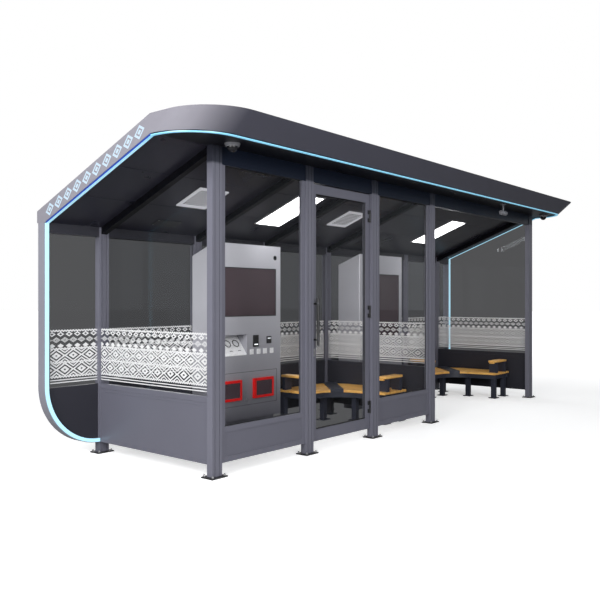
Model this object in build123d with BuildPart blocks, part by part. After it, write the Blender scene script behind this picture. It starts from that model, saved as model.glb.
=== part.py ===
"""Bus shelter: a closed waiting room with a glazed door beside an open bay, under one pitched roof.

Millimetres, +X along the shelter, -Y towards the street, +Z up.
The origin is on the ground, under the middle of the roof.
"""
import os
from math import atan, degrees, sqrt

from build123d import *

os.makedirs("parts", exist_ok=True)

# ---------------------------------------------------------------- driving dimensions
POST_W = 105.0              # post, along the shelter
POST_D = 63.0               # post, front to back
CLEAR_LEFT_BAY = 1047.0     # clear widths between the front posts, left to right
CLEAR_DOORWAY = 945.0
CLEAR_RIGHT_BAY = 1060.0
CLEAR_OPEN_BAY = 2692.0
ROOM_DEPTH = 1504.0         # front face of the front posts to front face of the back posts
BACK_FRAME_D = 100.0        # depth of the back wall's rim, front to back

LEFT_OVERHANG = 550.0       # roof and back wall past the end posts
RIGHT_OVERHANG = 335.0
FRONT_OVERHANG = 565.0      # roof rim past the front posts, at its top edge
FRONT_LEAN = 175.0          # how far the rim leans out at the front
BACK_OVERHANG = 118.0       # roof past the front face of the back posts
CORNER_R = 430.0            # rounded front corners of the roof, in plan
CORNER_RUN = 10.0           # shortest straight side edge behind such a corner
SOFFIT_Z = 2618.0           # underside of the roof's level front part
ROOF_T = 147.0              # roof, measured upright
LEVEL_STRIP = 75.0          # level part of the roof ends this far behind the posts' front
BACK_SOFFIT_Z = 2066.0      # underside of the roof at the back posts
RIM_T = 12.0                # folded sheet of the rim and the top
SOFFIT_T = 20.0             # ceiling boards
SEAM = 4.0                  # open joint between ceiling boards
SEAM_D = 10.0
SEAM_SHARES = (0.32, 0.655) # joints, as shares of the sloping run from its front

WALL_BOTTOM_Z = 103.0       # everything between the posts stops short of the ground
FRONT_SILL_Z = 387.0        # glass starts here at the front
SIDE_SILL_Z = 636.0         # and here at the ends, the back and the partition
LINTEL_BOTTOM_Z = 2476.0
BACK_LINTEL_BOTTOM_Z = 1978.0
RAFTER_H = 62.0
RAFTER_W = 60.0
LINTEL_SETBACK = 8.0        # lintels stand back from the posts' front face
BACK_SETBACK = 20.0         # back wall's infill stands back from the back posts' front face
WALL_SETBACK = 8.0          # end walls stand in from the end posts' outer face

PANEL_SETBACK = 14.0        # infill stands back from the posts' front face
PANEL_T = 34.0              # frame of an infill panel, front to back
STILE_W = 46.0
RAIL_H = 42.0
KICK_T = 22.0               # closed panel inside its frame
GLASS_T = 10.0
GROOVE_W = 7.0              # grooves down the front of each post
GROOVE_D = 5.0
GROOVE_PITCH = 50.0

PLATE_L = 170.0             # foot plate, along the shelter
PLATE_B = 130.0
PLATE_T = 10.0
BOLT_X = 130.0              # anchor bolt pattern in each foot plate
BOLT_Y = 96.0
BOLT_HOLE = 14.0

STRIP_W = 30.0              # light strip around the roof and the back wall's ends
STRIP_T = 14.0
STRIP_INSET = 6.0           # from the rim's lower edge
END_RIM_W = 35.0            # flat bar around the ends of the back wall

DOOR_GAP = 8.0              # around the leaf
DOOR_SETBACK = 30.0
DOOR_T = 40.0
DOOR_BOTTOM_Z = 96.0
DOOR_STILE_W = 64.0
DOOR_TOP_RAIL_H = 86.0
DOOR_BOTTOM_RAIL_H = 108.0
HINGE_R = 8.0
HINGE_L = 120.0
HINGE_FLANGE_T = 3.0
HINGE_FLANGE_L = 30.0
HINGE_INSET = 220.0         # outer hinges from the leaf's top and bottom
HINGE_POST_L = 38.0         # middle barrel, which stays on the post
HINGE_PLAY = 1.0            # between barrels, and from the barrels to the leaf
HINGE_POST_GAP = 2.0        # barrels to the post
HANDLE_H = 430.0
HANDLE_BOTTOM_Z = 985.0
HANDLE_R = 13.0
HANDLE_FOOT_R = 9.0
HANDLE_REACH = 52.0
HANDLE_FOOT_INSET = 50.0    # each end of the bar to its standoff

KIOSK_W = 1000.0
KIOSK_D = 336.0
KIOSK_TOP_Z = 1985.0        # at its front; the top falls back with the roof
KIOSK_BOTTOM_Z = 150.0
KIOSK_PLINTH_INSET = 60.0
KIOSK_CORNER_R = 14.0
FOOT_CLEAR = 8.0            # kiosk plinths and bench feet to the posts' foot plates
LEFT_KIOSK_REACH = 867.0    # left kiosk's right edge, right of the second post
RIGHT_KIOSK_GAP = 158.0     # partition post to the right kiosk
SCREEN_W = 820.0
SCREEN_TOP_Z = 1740.0
LEFT_SCREEN_H = 513.0       # over a tray
RIGHT_SCREEN_H = 820.0      # reaches down to where the other kiosk has its tray
SCREEN_RECESS = 14.0
SCREEN_T = 10.0
SCREEN_SIDE = 80.0          # screen to the kiosk's right edge
TRAY_W = 400.0              # recess with the sloping tray, left of the slots
TRAY_H = 218.0
TRAY_D = 150.0
TRAY_BOTTOM_Z = 820.0
TRAY_SIDE = 60.0            # tray to the kiosk's left edge
BOX_W = 300.0               # red boxes low on the left kiosk
BOX_H = 210.0
BOX_T = 30.0
BOX_BOTTOM_Z = 360.0
BOX_OFFSETS = (-292.0, 197.0)   # box centres from the kiosk's middle

SEAT_Z = 360.0
SEAT_T = 26.0
BOARD_GAP = 9.0
BOARDS = 4
SEAT_DEPTH = 455.0
BENCH_BACK_LEG = 1000.0     # bench wing along the back wall
BENCH_SIDE_LEG = 1175.0     # bench wing along the side wall
BENCH_GAP = 22.0            # bench to the walls
BENCH_INNER_R = 330.0
BENCH_OUTER_R = 380.0
BENCH_SPLAY = 70.0          # wings draw back towards the walls at their ends
APRON_T = 30.0
APRON_H = 62.0
LEG_W = 60.0                # square legs
LEG_SETBACK = 60.0          # front legs' middles behind the seat's front
MID_LEG = 0.62              # middle legs, as a share of each wing's length from the corner
CORNER_LEG = 120.0          # corner leg, in from both walls
CONSOLE_W = 150.0
CONSOLE_RISE = 14.0
CONSOLE_GAP = 2.0
APRON_INSET = 18.0          # steel frame behind the boards' edges
ARM_Z = 535.0
ARM_W = 120.0
ARM_T = 28.0
ARM_START = 70.0            # arm rest's back end, from the bench's wall edge
ARM_L = 370.0
ARM_NOSE = 44.0             # arm rest turned down at its front end
ARM_POST_W = 40.0
FOOT_X = 70.0               # bench foot plate beyond its leg, both sides together
FOOT_Y = 50.0

LIGHT_W = 375.0             # ceiling fittings, all under the sloping boards
LIGHT_L = 680.0
LIGHT_T = 6.0
VENT_SIZE = 352.0
VENT_T = 14.0
VENT_OFFSETS = (0.0, 28.0)      # fittings from the middles of their bays
LIGHT_OFFSETS = (122.0, 162.0)
FITTING_Y = 805.0           # middle of lights and vents, behind the posts' front
PLATE_COVER_W = 290.0
PLATE_COVER_L = 120.0
PLATE_COVER_T = 4.0
PLATE_COVER_OFFSETS = (0.0, 0.0, -911.0)
PLATE_COVER_Y = 1313.0
DOME_R = 62.0               # round cameras under the overhang
DOME_BALL_R = 44.0
DOME_H = 26.0
DOME_OFFSETS = (28.0, 108.0)    # right of the first and last posts' middles
DOME_Y = 140.0              # in front of the posts
ARM_CAMERA_X = 1800.0       # camera on a short arm, over the open bay
ARM_CAMERA_Y = 211.0
ARM_CAMERA_DROP = 110.0
ARM_CAMERA_BASE_R = 38.0
ARM_CAMERA_STEM_R = 15.0
ARM_CAMERA_R = 30.0
ARM_CAMERA_L = 150.0

CUT_MARGIN = 20.0           # cutting forms reach this far past what they cut

# ---------------------------------------------------------------- derived places
ROW = POST_W * 5 + CLEAR_LEFT_BAY + CLEAR_DOORWAY + CLEAR_RIGHT_BAY + CLEAR_OPEN_BAY
ROOF_L = LEFT_OVERHANG + ROW + RIGHT_OVERHANG
ROW_START = -ROOF_L / 2 + LEFT_OVERHANG
ROW_END = ROW_START + ROW
ROOF_D = FRONT_OVERHANG + ROOM_DEPTH + BACK_OVERHANG
FRONT_Y = -ROOF_D / 2 + FRONT_OVERHANG
BACK_Y = FRONT_Y + ROOM_DEPTH
ROOF_BACK_Y = BACK_Y + BACK_OVERHANG
BREAK_Y = FRONT_Y + LEVEL_STRIP
RIM_TOP_Y = FRONT_Y - FRONT_OVERHANG
RIM_LOW_Y = RIM_TOP_Y + FRONT_LEAN
SLOPE = (SOFFIT_Z - BACK_SOFFIT_Z) / (BACK_Y - BREAK_Y)
ROOF_TOP_Z = SOFFIT_Z + ROOF_T

POST_X = [ROW_START + POST_W / 2]
for clear in (CLEAR_LEFT_BAY, CLEAR_DOORWAY, CLEAR_RIGHT_BAY, CLEAR_OPEN_BAY):
    POST_X.append(POST_X[-1] + POST_W + clear)
P1, P2, P3, P4, P5 = POST_X
THIRD = (P5 - P4) / 3
BACK_POST_X = [P1, P2, P3, P4, P4 + THIRD, P4 + 2 * THIRD, P5]
HALF = POST_W / 2
PANEL_Y = FRONT_Y + PANEL_SETBACK
FOOT_REACH = (PLATE_B - POST_D) / 2     # foot plate in front of its post


def soffit_z(y):
    """Height of the roof's underside above a point y."""
    return SOFFIT_Z - SLOPE * max(0.0, min(y, BACK_Y) - BREAK_Y)


def block(x0, x1, y0, y1, z0, z1):
    """Plain rectangular block between six faces."""
    with BuildPart() as solid:
        with BuildSketch(Plane.XY.offset(z0)):
            with Locations(((x0 + x1) / 2, (y0 + y1) / 2)):
                Rectangle(x1 - x0, y1 - y0)
        extrude(amount=z1 - z0)
    return solid.part


def prism(outline, x0, x1):
    """Outline in the Y-Z plane, run along X from x0 to x1."""
    with BuildPart() as solid:
        with BuildSketch(Plane.YZ.offset(x0)):
            with BuildLine():
                Polyline(*outline, close=True)
            make_face()
        extrude(amount=x1 - x0)
    return solid.part


def plan_face(z, side_x, front_y, corner_r):
    """Level front part of the roof in plan, with its two rounded corners."""
    with BuildSketch(Plane.XY.offset(z)) as face:
        with BuildLine():
            FilletPolyline(
                (-side_x, BREAK_Y),
                (-side_x, front_y),
                (side_x, front_y),
                (side_x, BREAK_Y),
                radius=min(corner_r, BREAK_Y - front_y - CORNER_RUN),
            )
            Line((side_x, BREAK_Y), (-side_x, BREAK_Y))
        make_face()
    return face.sketch


def roof_form(inset, low, high):
    """The roof as one closed form, or the same form drawn in by a sheet's thickness."""
    side = ROOF_L / 2 - inset
    lean = FRONT_LEAN / ROOF_T
    low_y = RIM_LOW_Y - lean * (low - SOFFIT_Z) + inset
    high_y = RIM_LOW_Y - lean * (high - SOFFIT_Z) + inset
    back = ROOF_BACK_Y - inset
    outline = [
        (BREAK_Y, low),
        (BACK_Y, low - SLOPE * (BACK_Y - BREAK_Y)),
        (back, low - SLOPE * (BACK_Y - BREAK_Y)),
        (back, high - SLOPE * (back - BREAK_Y)),
        (BREAK_Y, high),
    ]
    with BuildPart() as form:
        loft(
            sections=[
                plan_face(low, side, low_y, CORNER_R - inset),
                plan_face(high, side, high_y, CORNER_R - inset),
            ],
            ruled=True,
        )
        add(prism(outline, -side, side))
    return form.part


# ---------------------------------------------------------------- room under the roof
# Everything that stands under the roof is cut off along its underside.
above_soffit = prism(
    [
        (RIM_TOP_Y - CUT_MARGIN, SOFFIT_Z),
        (BREAK_Y, SOFFIT_Z),
        (BACK_Y, BACK_SOFFIT_Z),
        (ROOF_BACK_Y + CUT_MARGIN, BACK_SOFFIT_Z),
        (ROOF_BACK_Y + CUT_MARGIN, ROOF_TOP_Z + CUT_MARGIN),
        (RIM_TOP_Y - CUT_MARGIN, ROOF_TOP_Z + CUT_MARGIN),
    ],
    -ROOF_L,
    ROOF_L,
)


def keep(name, part):
    """Label a finished piece and write it."""
    part.label = name
    export_step(part, f"parts/{name}.step")


# ---------------------------------------------------------------- posts and foot plates
def post(x, y):
    """Extruded post with two grooves down its front, cut off along the roof."""
    with BuildPart() as upright:
        with BuildSketch(Plane.XY.offset(PLATE_T)):
            with Locations((x, y + POST_D / 2)):
                Rectangle(POST_W, POST_D)
            with Locations((x - GROOVE_PITCH / 2, y), (x + GROOVE_PITCH / 2, y)):
                Rectangle(GROOVE_W, 2 * GROOVE_D, mode=Mode.SUBTRACT)
        extrude(amount=ROOF_TOP_Z)
        add(above_soffit, mode=Mode.SUBTRACT)
    return upright.part


for number, x in enumerate(POST_X, start=1):
    keep(f"front_post_{number}", post(x, FRONT_Y))

with BuildPart() as back_posts:
    for x in BACK_POST_X:
        add(post(x, BACK_Y))
keep("back_posts", back_posts.part)

foot_places = [(x, FRONT_Y + POST_D / 2) for x in POST_X]
foot_places += [(x, BACK_Y + POST_D / 2) for x in BACK_POST_X]
with BuildPart() as foot_plates:
    with BuildSketch():
        with Locations(*foot_places):
            Rectangle(PLATE_L, PLATE_B)
    extrude(amount=PLATE_T)
    with Locations(*[(x, y, PLATE_T) for x, y in foot_places]):
        with GridLocations(BOLT_X, BOLT_Y, 2, 2):
            Hole(BOLT_HOLE / 2, PLATE_T)
keep("foot_plates", foot_plates.part)

# ---------------------------------------------------------------- lintels and rafters
with BuildPart() as front_lintels:
    for left, right in zip(POST_X[:-1], POST_X[1:]):
        add(
            block(
                left + HALF,
                right - HALF,
                FRONT_Y + LINTEL_SETBACK,
                FRONT_Y + POST_D,
                LINTEL_BOTTOM_Z,
                SOFFIT_Z,
            )
        )
keep("front_lintels", front_lintels.part)

END_X = ROOF_L / 2 - END_RIM_W
back_bays = [(left + HALF, right - HALF) for left, right in zip(BACK_POST_X[:-1], BACK_POST_X[1:])]
end_bays = [(-END_X, ROW_START), (ROW_END, END_X)]

with BuildPart() as back_lintels:
    for x0, x1 in back_bays + end_bays:
        add(block(x0, x1, BACK_Y, BACK_Y + BACK_FRAME_D, BACK_LINTEL_BOTTOM_Z, BACK_SOFFIT_Z))
keep("back_lintels", back_lintels.part)

RAFTER_Y0 = FRONT_Y + POST_D
rafter_outline = [
    (RAFTER_Y0, SOFFIT_Z - RAFTER_H + SLOPE * (BREAK_Y - RAFTER_Y0)),
    (BACK_Y, BACK_SOFFIT_Z - RAFTER_H),
    (BACK_Y, BACK_SOFFIT_Z),
    (BREAK_Y, SOFFIT_Z),
    (RAFTER_Y0, SOFFIT_Z),
]
with BuildPart() as rafters:
    for x in POST_X:
        add(prism(rafter_outline, x - RAFTER_W / 2, x + RAFTER_W / 2))
keep("rafters", rafters.part)

# ---------------------------------------------------------------- roof
roof_space = roof_form(RIM_T, SOFFIT_Z - CUT_MARGIN, ROOF_TOP_Z - RIM_T)
with BuildPart() as roof_shell:
    add(roof_form(0, SOFFIT_Z, ROOF_TOP_Z))
    add(roof_space, mode=Mode.SUBTRACT)
keep("roof_shell", roof_shell.part)

underside = [
    (RIM_TOP_Y, SOFFIT_Z),
    (BREAK_Y, SOFFIT_Z),
    (BACK_Y, BACK_SOFFIT_Z),
    (ROOF_BACK_Y, BACK_SOFFIT_Z),
]
boards_outline = underside + [(y, z + SOFFIT_T) for y, z in reversed(underside)]
with BuildPart() as ceiling:
    add(roof_space)
    add(prism(boards_outline, -ROOF_L / 2, ROOF_L / 2), mode=Mode.INTERSECT)
    for share in SEAM_SHARES:
        y = BREAK_Y + share * (BACK_Y - BREAK_Y)
        z = soffit_z(y)
        add(block(-END_X, END_X, y, y + SEAM, z - SEAM_D, z + SEAM_D), mode=Mode.SUBTRACT)
keep("ceiling", ceiling.part)


# ---------------------------------------------------------------- ends of the back wall
WALL_ENDS = {-1: (ROW_START, LEFT_OVERHANG), 1: (ROW_END, RIGHT_OVERHANG)}


def end_outline(side, y, offset):
    """One end of the back wall inside a rim of the given width, with its rounded lower corner."""
    inner_x, overhang = WALL_ENDS[side]
    bend_z = WALL_BOTTOM_Z + overhang
    radius = overhang - offset
    outer_x = inner_x + side * radius
    with BuildSketch(Plane.XZ.offset(-y)) as face:
        with BuildLine():
            Polyline(
                (inner_x, bend_z - radius),
                (inner_x, BACK_SOFFIT_Z),
                (outer_x, BACK_SOFFIT_Z),
                (outer_x, bend_z),
            )
            ThreePointArc(
                (outer_x, bend_z),
                (inner_x + side * radius * sqrt(0.5), bend_z - radius * sqrt(0.5)),
                (inner_x, bend_z - radius),
            )
        make_face()
    return face.sketch


def end_band(side, y, inset, outset, depth):
    """Bar around one end of the back wall, between two offsets from its outer edge."""
    with BuildPart() as bar:
        extrude(end_outline(side, y, inset), amount=-depth)
        extrude(end_outline(side, y, outset), amount=-depth, mode=Mode.SUBTRACT)
    return bar.part


with BuildPart() as end_rims:
    for side in (-1, 1):
        add(end_band(side, BACK_Y, 0.0, END_RIM_W, BACK_FRAME_D))
keep("end_rims", end_rims.part)

# One light strip runs down each end rim, up the roof's sides and around its front.
strip_outline = [
    (BREAK_Y, SOFFIT_Z - STRIP_T),
    (BACK_Y, BACK_SOFFIT_Z - STRIP_T),
    (BACK_Y, BACK_SOFFIT_Z),
    (BREAK_Y, SOFFIT_Z),
]
with BuildPart() as light_strip:
    for inset, mode in ((STRIP_INSET, Mode.ADD), (STRIP_INSET + STRIP_W, Mode.SUBTRACT)):
        plan = plan_face(SOFFIT_Z, ROOF_L / 2 - inset, RIM_LOW_Y + inset, CORNER_R - inset)
        extrude(plan, amount=-STRIP_T, mode=mode)
    for side in (-1, 1):
        outer = side * (ROOF_L / 2 - STRIP_INSET)
        inner = outer - side * STRIP_W
        add(prism(strip_outline, min(inner, outer), max(inner, outer)))
        add(end_band(side, BACK_Y - STRIP_T, STRIP_INSET, STRIP_INSET + STRIP_W, STRIP_T))
    add(above_soffit, mode=Mode.SUBTRACT)
keep("light_strip", light_strip.part)

# ---------------------------------------------------------------- back wall infill
KICK_Y = BACK_Y + BACK_SETBACK
with BuildPart() as back_panels:
    for x0, x1 in back_bays:
        add(block(x0, x1, KICK_Y, KICK_Y + PANEL_T, WALL_BOTTOM_Z, SIDE_SILL_Z))
    for side in (-1, 1):
        extrude(end_outline(side, KICK_Y, END_RIM_W), amount=-PANEL_T)
    add(
        block(-ROOF_L, ROOF_L, BACK_Y, ROOF_BACK_Y, SIDE_SILL_Z, ROOF_TOP_Z),
        mode=Mode.SUBTRACT,
    )
keep("back_panels", back_panels.part)

BACK_PANE_Y = KICK_Y + (PANEL_T - GLASS_T) / 2
with BuildPart() as back_glass:
    for x0, x1 in back_bays + end_bays:
        add(
            block(x0, x1, BACK_PANE_Y, BACK_PANE_Y + GLASS_T, SIDE_SILL_Z, BACK_LINTEL_BOTTOM_Z)
        )
    add(end_rims.part, mode=Mode.SUBTRACT)
keep("back_glass", back_glass.part)


# ---------------------------------------------------------------- cross walls
def cross_wall(name, x):
    """Closed panel and glass between a front post and the back post behind it."""
    keep(
        f"{name}_panel",
        block(x - PANEL_T / 2, x + PANEL_T / 2, RAFTER_Y0, BACK_Y, WALL_BOTTOM_Z, SIDE_SILL_Z),
    )
    with BuildPart() as pane:
        add(block(x - GLASS_T / 2, x + GLASS_T / 2, RAFTER_Y0, BACK_Y, SIDE_SILL_Z, ROOF_TOP_Z))
        add(above_soffit, mode=Mode.SUBTRACT)
        add(rafters.part, mode=Mode.SUBTRACT)
    keep(f"{name}_glass", pane.part)


LEFT_WALL_X = P1 - HALF + WALL_SETBACK + PANEL_T / 2
RIGHT_WALL_X = P5 + HALF - WALL_SETBACK - PANEL_T / 2
cross_wall("left_wall", LEFT_WALL_X)
cross_wall("partition", P4)
cross_wall("right_wall", RIGHT_WALL_X)


# ---------------------------------------------------------------- front bays
def front_bay(name, left, right):
    """Framed infill of a front bay: a closed panel below, glass above."""
    x0 = left + HALF
    x1 = right - HALF
    middle = (x0 + x1) / 2
    clear = x1 - x0 - 2 * STILE_W
    kick_z0 = WALL_BOTTOM_Z + RAIL_H
    kick_z1 = FRONT_SILL_Z - RAIL_H
    with BuildPart() as frame:
        with BuildSketch(Plane.XZ.offset(-PANEL_Y)):
            with Locations((middle, (WALL_BOTTOM_Z + LINTEL_BOTTOM_Z) / 2)):
                Rectangle(x1 - x0, LINTEL_BOTTOM_Z - WALL_BOTTOM_Z)
            with Locations((middle, (FRONT_SILL_Z + LINTEL_BOTTOM_Z) / 2)):
                Rectangle(clear, LINTEL_BOTTOM_Z - FRONT_SILL_Z, mode=Mode.SUBTRACT)
            with Locations((middle, (kick_z0 + kick_z1) / 2)):
                Rectangle(clear, kick_z1 - kick_z0, mode=Mode.SUBTRACT)
        extrude(amount=-PANEL_T)
    keep(f"{name}_frame", frame.part)
    kick_y = PANEL_Y + (PANEL_T - KICK_T) / 2
    pane_y = PANEL_Y + PANEL_T - GLASS_T
    keep(
        f"{name}_kick_panel",
        block(x0 + STILE_W, x1 - STILE_W, kick_y, kick_y + KICK_T, kick_z0, kick_z1),
    )
    keep(
        f"{name}_glass",
        block(
            x0 + STILE_W,
            x1 - STILE_W,
            pane_y,
            pane_y + GLASS_T,
            FRONT_SILL_Z,
            LINTEL_BOTTOM_Z,
        ),
    )


front_bay("left_bay", P1, P2)
front_bay("right_bay", P3, P4)

# ---------------------------------------------------------------- door
DOOR_X0 = P2 + HALF + DOOR_GAP
DOOR_X1 = P3 - HALF - DOOR_GAP
DOOR_Y = FRONT_Y + DOOR_SETBACK
DOOR_TOP_Z = LINTEL_BOTTOM_Z - DOOR_GAP
PANE_X0 = DOOR_X0 + DOOR_STILE_W
PANE_X1 = DOOR_X1 - DOOR_STILE_W
PANE_Z0 = DOOR_BOTTOM_Z + DOOR_BOTTOM_RAIL_H
PANE_Z1 = DOOR_TOP_Z - DOOR_TOP_RAIL_H
HINGE_X = P3 - HALF - HINGE_POST_GAP - HINGE_R
HINGE_Y = DOOR_Y - HINGE_PLAY - HINGE_R
HINGE_Z = [
    DOOR_BOTTOM_Z + HINGE_INSET,
    (DOOR_BOTTOM_Z + DOOR_TOP_Z) / 2,
    DOOR_TOP_Z - HINGE_INSET,
]

with BuildPart() as door_leaf:
    with BuildSketch(Plane.XZ.offset(-DOOR_Y)):
        with Locations(((DOOR_X0 + DOOR_X1) / 2, (DOOR_BOTTOM_Z + DOOR_TOP_Z) / 2)):
            Rectangle(DOOR_X1 - DOOR_X0, DOOR_TOP_Z - DOOR_BOTTOM_Z)
        with Locations(((PANE_X0 + PANE_X1) / 2, (PANE_Z0 + PANE_Z1) / 2)):
            Rectangle(PANE_X1 - PANE_X0, PANE_Z1 - PANE_Z0, mode=Mode.SUBTRACT)
    extrude(amount=-DOOR_T)
keep("door_leaf", door_leaf.part)

door_pane_y = DOOR_Y + (DOOR_T - GLASS_T) / 2
keep(
    "door_glass",
    block(PANE_X0, PANE_X1, door_pane_y, door_pane_y + GLASS_T, PANE_Z0, PANE_Z1),
)

HANDLE_X = DOOR_X0 + DOOR_STILE_W / 2
HANDLE_TOP_Z = HANDLE_BOTTOM_Z + HANDLE_H
with BuildPart() as door_handles:
    for face_y, outward in ((DOOR_Y, -1), (DOOR_Y + DOOR_T, 1)):
        with BuildSketch(Plane.XY.offset(HANDLE_BOTTOM_Z)):
            with Locations((HANDLE_X, face_y + outward * HANDLE_REACH)):
                Circle(HANDLE_R)
        extrude(amount=HANDLE_H)
        with BuildSketch(Plane.XZ.offset(-face_y)):
            with Locations(
                (HANDLE_X, HANDLE_BOTTOM_Z + HANDLE_FOOT_INSET),
                (HANDLE_X, HANDLE_TOP_Z - HANDLE_FOOT_INSET),
            ):
                Circle(HANDLE_FOOT_R)
        extrude(amount=-outward * HANDLE_REACH)
keep("door_handles", door_handles.part)


# The door opens outwards: the ceiling behind it falls too low for it to swing in.
def hinge_halves(spans, flange_x0, flange_x1, flange_y0, flange_y1):
    """Barrels and flanges of one side of all hinges; spans are heights from each one's middle."""
    with BuildPart() as halves:
        for z in HINGE_Z:
            for start, end in spans:
                with BuildSketch(Plane.XY.offset(z + start)):
                    with Locations((HINGE_X, HINGE_Y)):
                        Circle(HINGE_R)
                extrude(amount=end - start)
                add(block(flange_x0, flange_x1, flange_y0, flange_y1, z + start, z + end))
    return halves.part


middle_barrel = HINGE_POST_L / 2
outer_barrel = middle_barrel + HINGE_PLAY
keep(
    "door_hinge_halves",
    hinge_halves(
        [(-HINGE_L / 2, -outer_barrel), (outer_barrel, HINGE_L / 2)],
        HINGE_X - HINGE_FLANGE_L,
        HINGE_X,
        DOOR_Y - HINGE_FLANGE_T,
        DOOR_Y,
    ),
)
keep(
    "post_hinge_halves",
    hinge_halves(
        [(-middle_barrel, middle_barrel)],
        HINGE_X,
        P3 - HALF,
        HINGE_Y - HINGE_FLANGE_T / 2,
        HINGE_Y + HINGE_FLANGE_T / 2,
    ),
)

# ---------------------------------------------------------------- kiosks
KIOSK_Y = BACK_Y - KIOSK_D
LEFT_KIOSK_X = P2 + HALF + LEFT_KIOSK_REACH - KIOSK_W / 2
RIGHT_KIOSK_X = P4 + HALF + RIGHT_KIOSK_GAP + KIOSK_W / 2
SCREENS = ((LEFT_KIOSK_X, LEFT_SCREEN_H), (RIGHT_KIOSK_X, RIGHT_SCREEN_H))
kiosk_outline = [
    (KIOSK_Y, KIOSK_BOTTOM_Z),
    (BACK_Y, KIOSK_BOTTOM_Z),
    (BACK_Y, KIOSK_TOP_Z - SLOPE * KIOSK_D),
    (KIOSK_Y, KIOSK_TOP_Z),
]


def kiosk(x, screen_h):
    """Standing cabinet on a set-back plinth, with a recess for its screen."""
    right = x + KIOSK_W / 2
    with BuildPart() as body:
        add(prism(kiosk_outline, x - KIOSK_W / 2, right))
        fillet(body.edges().filter_by(Axis.Z).group_by(Axis.Y)[0], KIOSK_CORNER_R)
        plinth_y0 = KIOSK_Y + KIOSK_PLINTH_INSET
        plinth_y1 = BACK_Y - FOOT_REACH - FOOT_CLEAR
        with BuildSketch():
            with Locations((x, (plinth_y0 + plinth_y1) / 2)):
                Rectangle(KIOSK_W - 2 * KIOSK_PLINTH_INSET, plinth_y1 - plinth_y0)
        extrude(amount=KIOSK_BOTTOM_Z)
        with BuildSketch(Plane.XZ.offset(-KIOSK_Y)):
            with Locations((right - SCREEN_SIDE - SCREEN_W / 2, SCREEN_TOP_Z - screen_h / 2)):
                Rectangle(SCREEN_W, screen_h)
        extrude(amount=-SCREEN_RECESS, mode=Mode.SUBTRACT)
    return body.part


tray_x0 = LEFT_KIOSK_X - KIOSK_W / 2 + TRAY_SIDE
with BuildPart() as left_kiosk:
    add(kiosk(LEFT_KIOSK_X, LEFT_SCREEN_H))
    add(
        block(
            tray_x0,
            tray_x0 + TRAY_W,
            KIOSK_Y,
            KIOSK_Y + TRAY_D,
            TRAY_BOTTOM_Z,
            TRAY_BOTTOM_Z + TRAY_H,
        ),
        mode=Mode.SUBTRACT,
    )
keep("left_kiosk", left_kiosk.part)
keep("right_kiosk", kiosk(RIGHT_KIOSK_X, RIGHT_SCREEN_H))

screen_y1 = KIOSK_Y + SCREEN_RECESS
with BuildPart() as kiosk_screens:
    for x, screen_h in SCREENS:
        x1 = x + KIOSK_W / 2 - SCREEN_SIDE
        z0 = SCREEN_TOP_Z - screen_h
        add(block(x1 - SCREEN_W, x1, screen_y1 - SCREEN_T, screen_y1, z0, SCREEN_TOP_Z))
keep("kiosk_screens", kiosk_screens.part)

with BuildPart() as wall_boxes:
    with BuildSketch(Plane.XZ.offset(-KIOSK_Y)):
        with Locations(*[(LEFT_KIOSK_X + dx, BOX_BOTTOM_Z + BOX_H / 2) for dx in BOX_OFFSETS]):
            Rectangle(BOX_W, BOX_H)
    extrude(amount=BOX_T)
keep("emergency_boxes", wall_boxes.part)


# ---------------------------------------------------------------- benches
def seat_line(corner, share):
    """Corner points and bend of a line along the bench: 0 is its wall edge, 1 its front."""
    cx, cy = corner
    reach = BENCH_GAP + share * SEAT_DEPTH
    splay = share * BENCH_SPLAY
    points = [
        (cx - BENCH_BACK_LEG, cy - reach),
        (cx - reach - splay, cy - reach - splay),
        (cx - reach, cy - BENCH_SIDE_LEG),
    ]
    return points, BENCH_OUTER_R + share * (BENCH_INNER_R - BENCH_OUTER_R)


def seat_face(corner, near, far):
    """Plan of the bench between two of its lines."""
    wall, wall_r = seat_line(corner, near)
    front, front_r = seat_line(corner, far)
    with BuildSketch() as face:
        with BuildLine():
            FilletPolyline(*wall, radius=wall_r)
            FilletPolyline(*front, radius=front_r)
            Line(wall[0], front[0])
            Line(wall[-1], front[-1])
        make_face()
    return face.sketch


def console_face(corner, width):
    """Plan of the console between the wings: a band across the seat on the diagonal."""
    cx, cy = corner
    with BuildSketch() as face:
        with Locations((cx - BENCH_GAP - SEAT_DEPTH / 2, cy - BENCH_GAP - SEAT_DEPTH / 2)):
            Rectangle(3 * SEAT_DEPTH, width, rotation=45)
    return face.sketch


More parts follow.
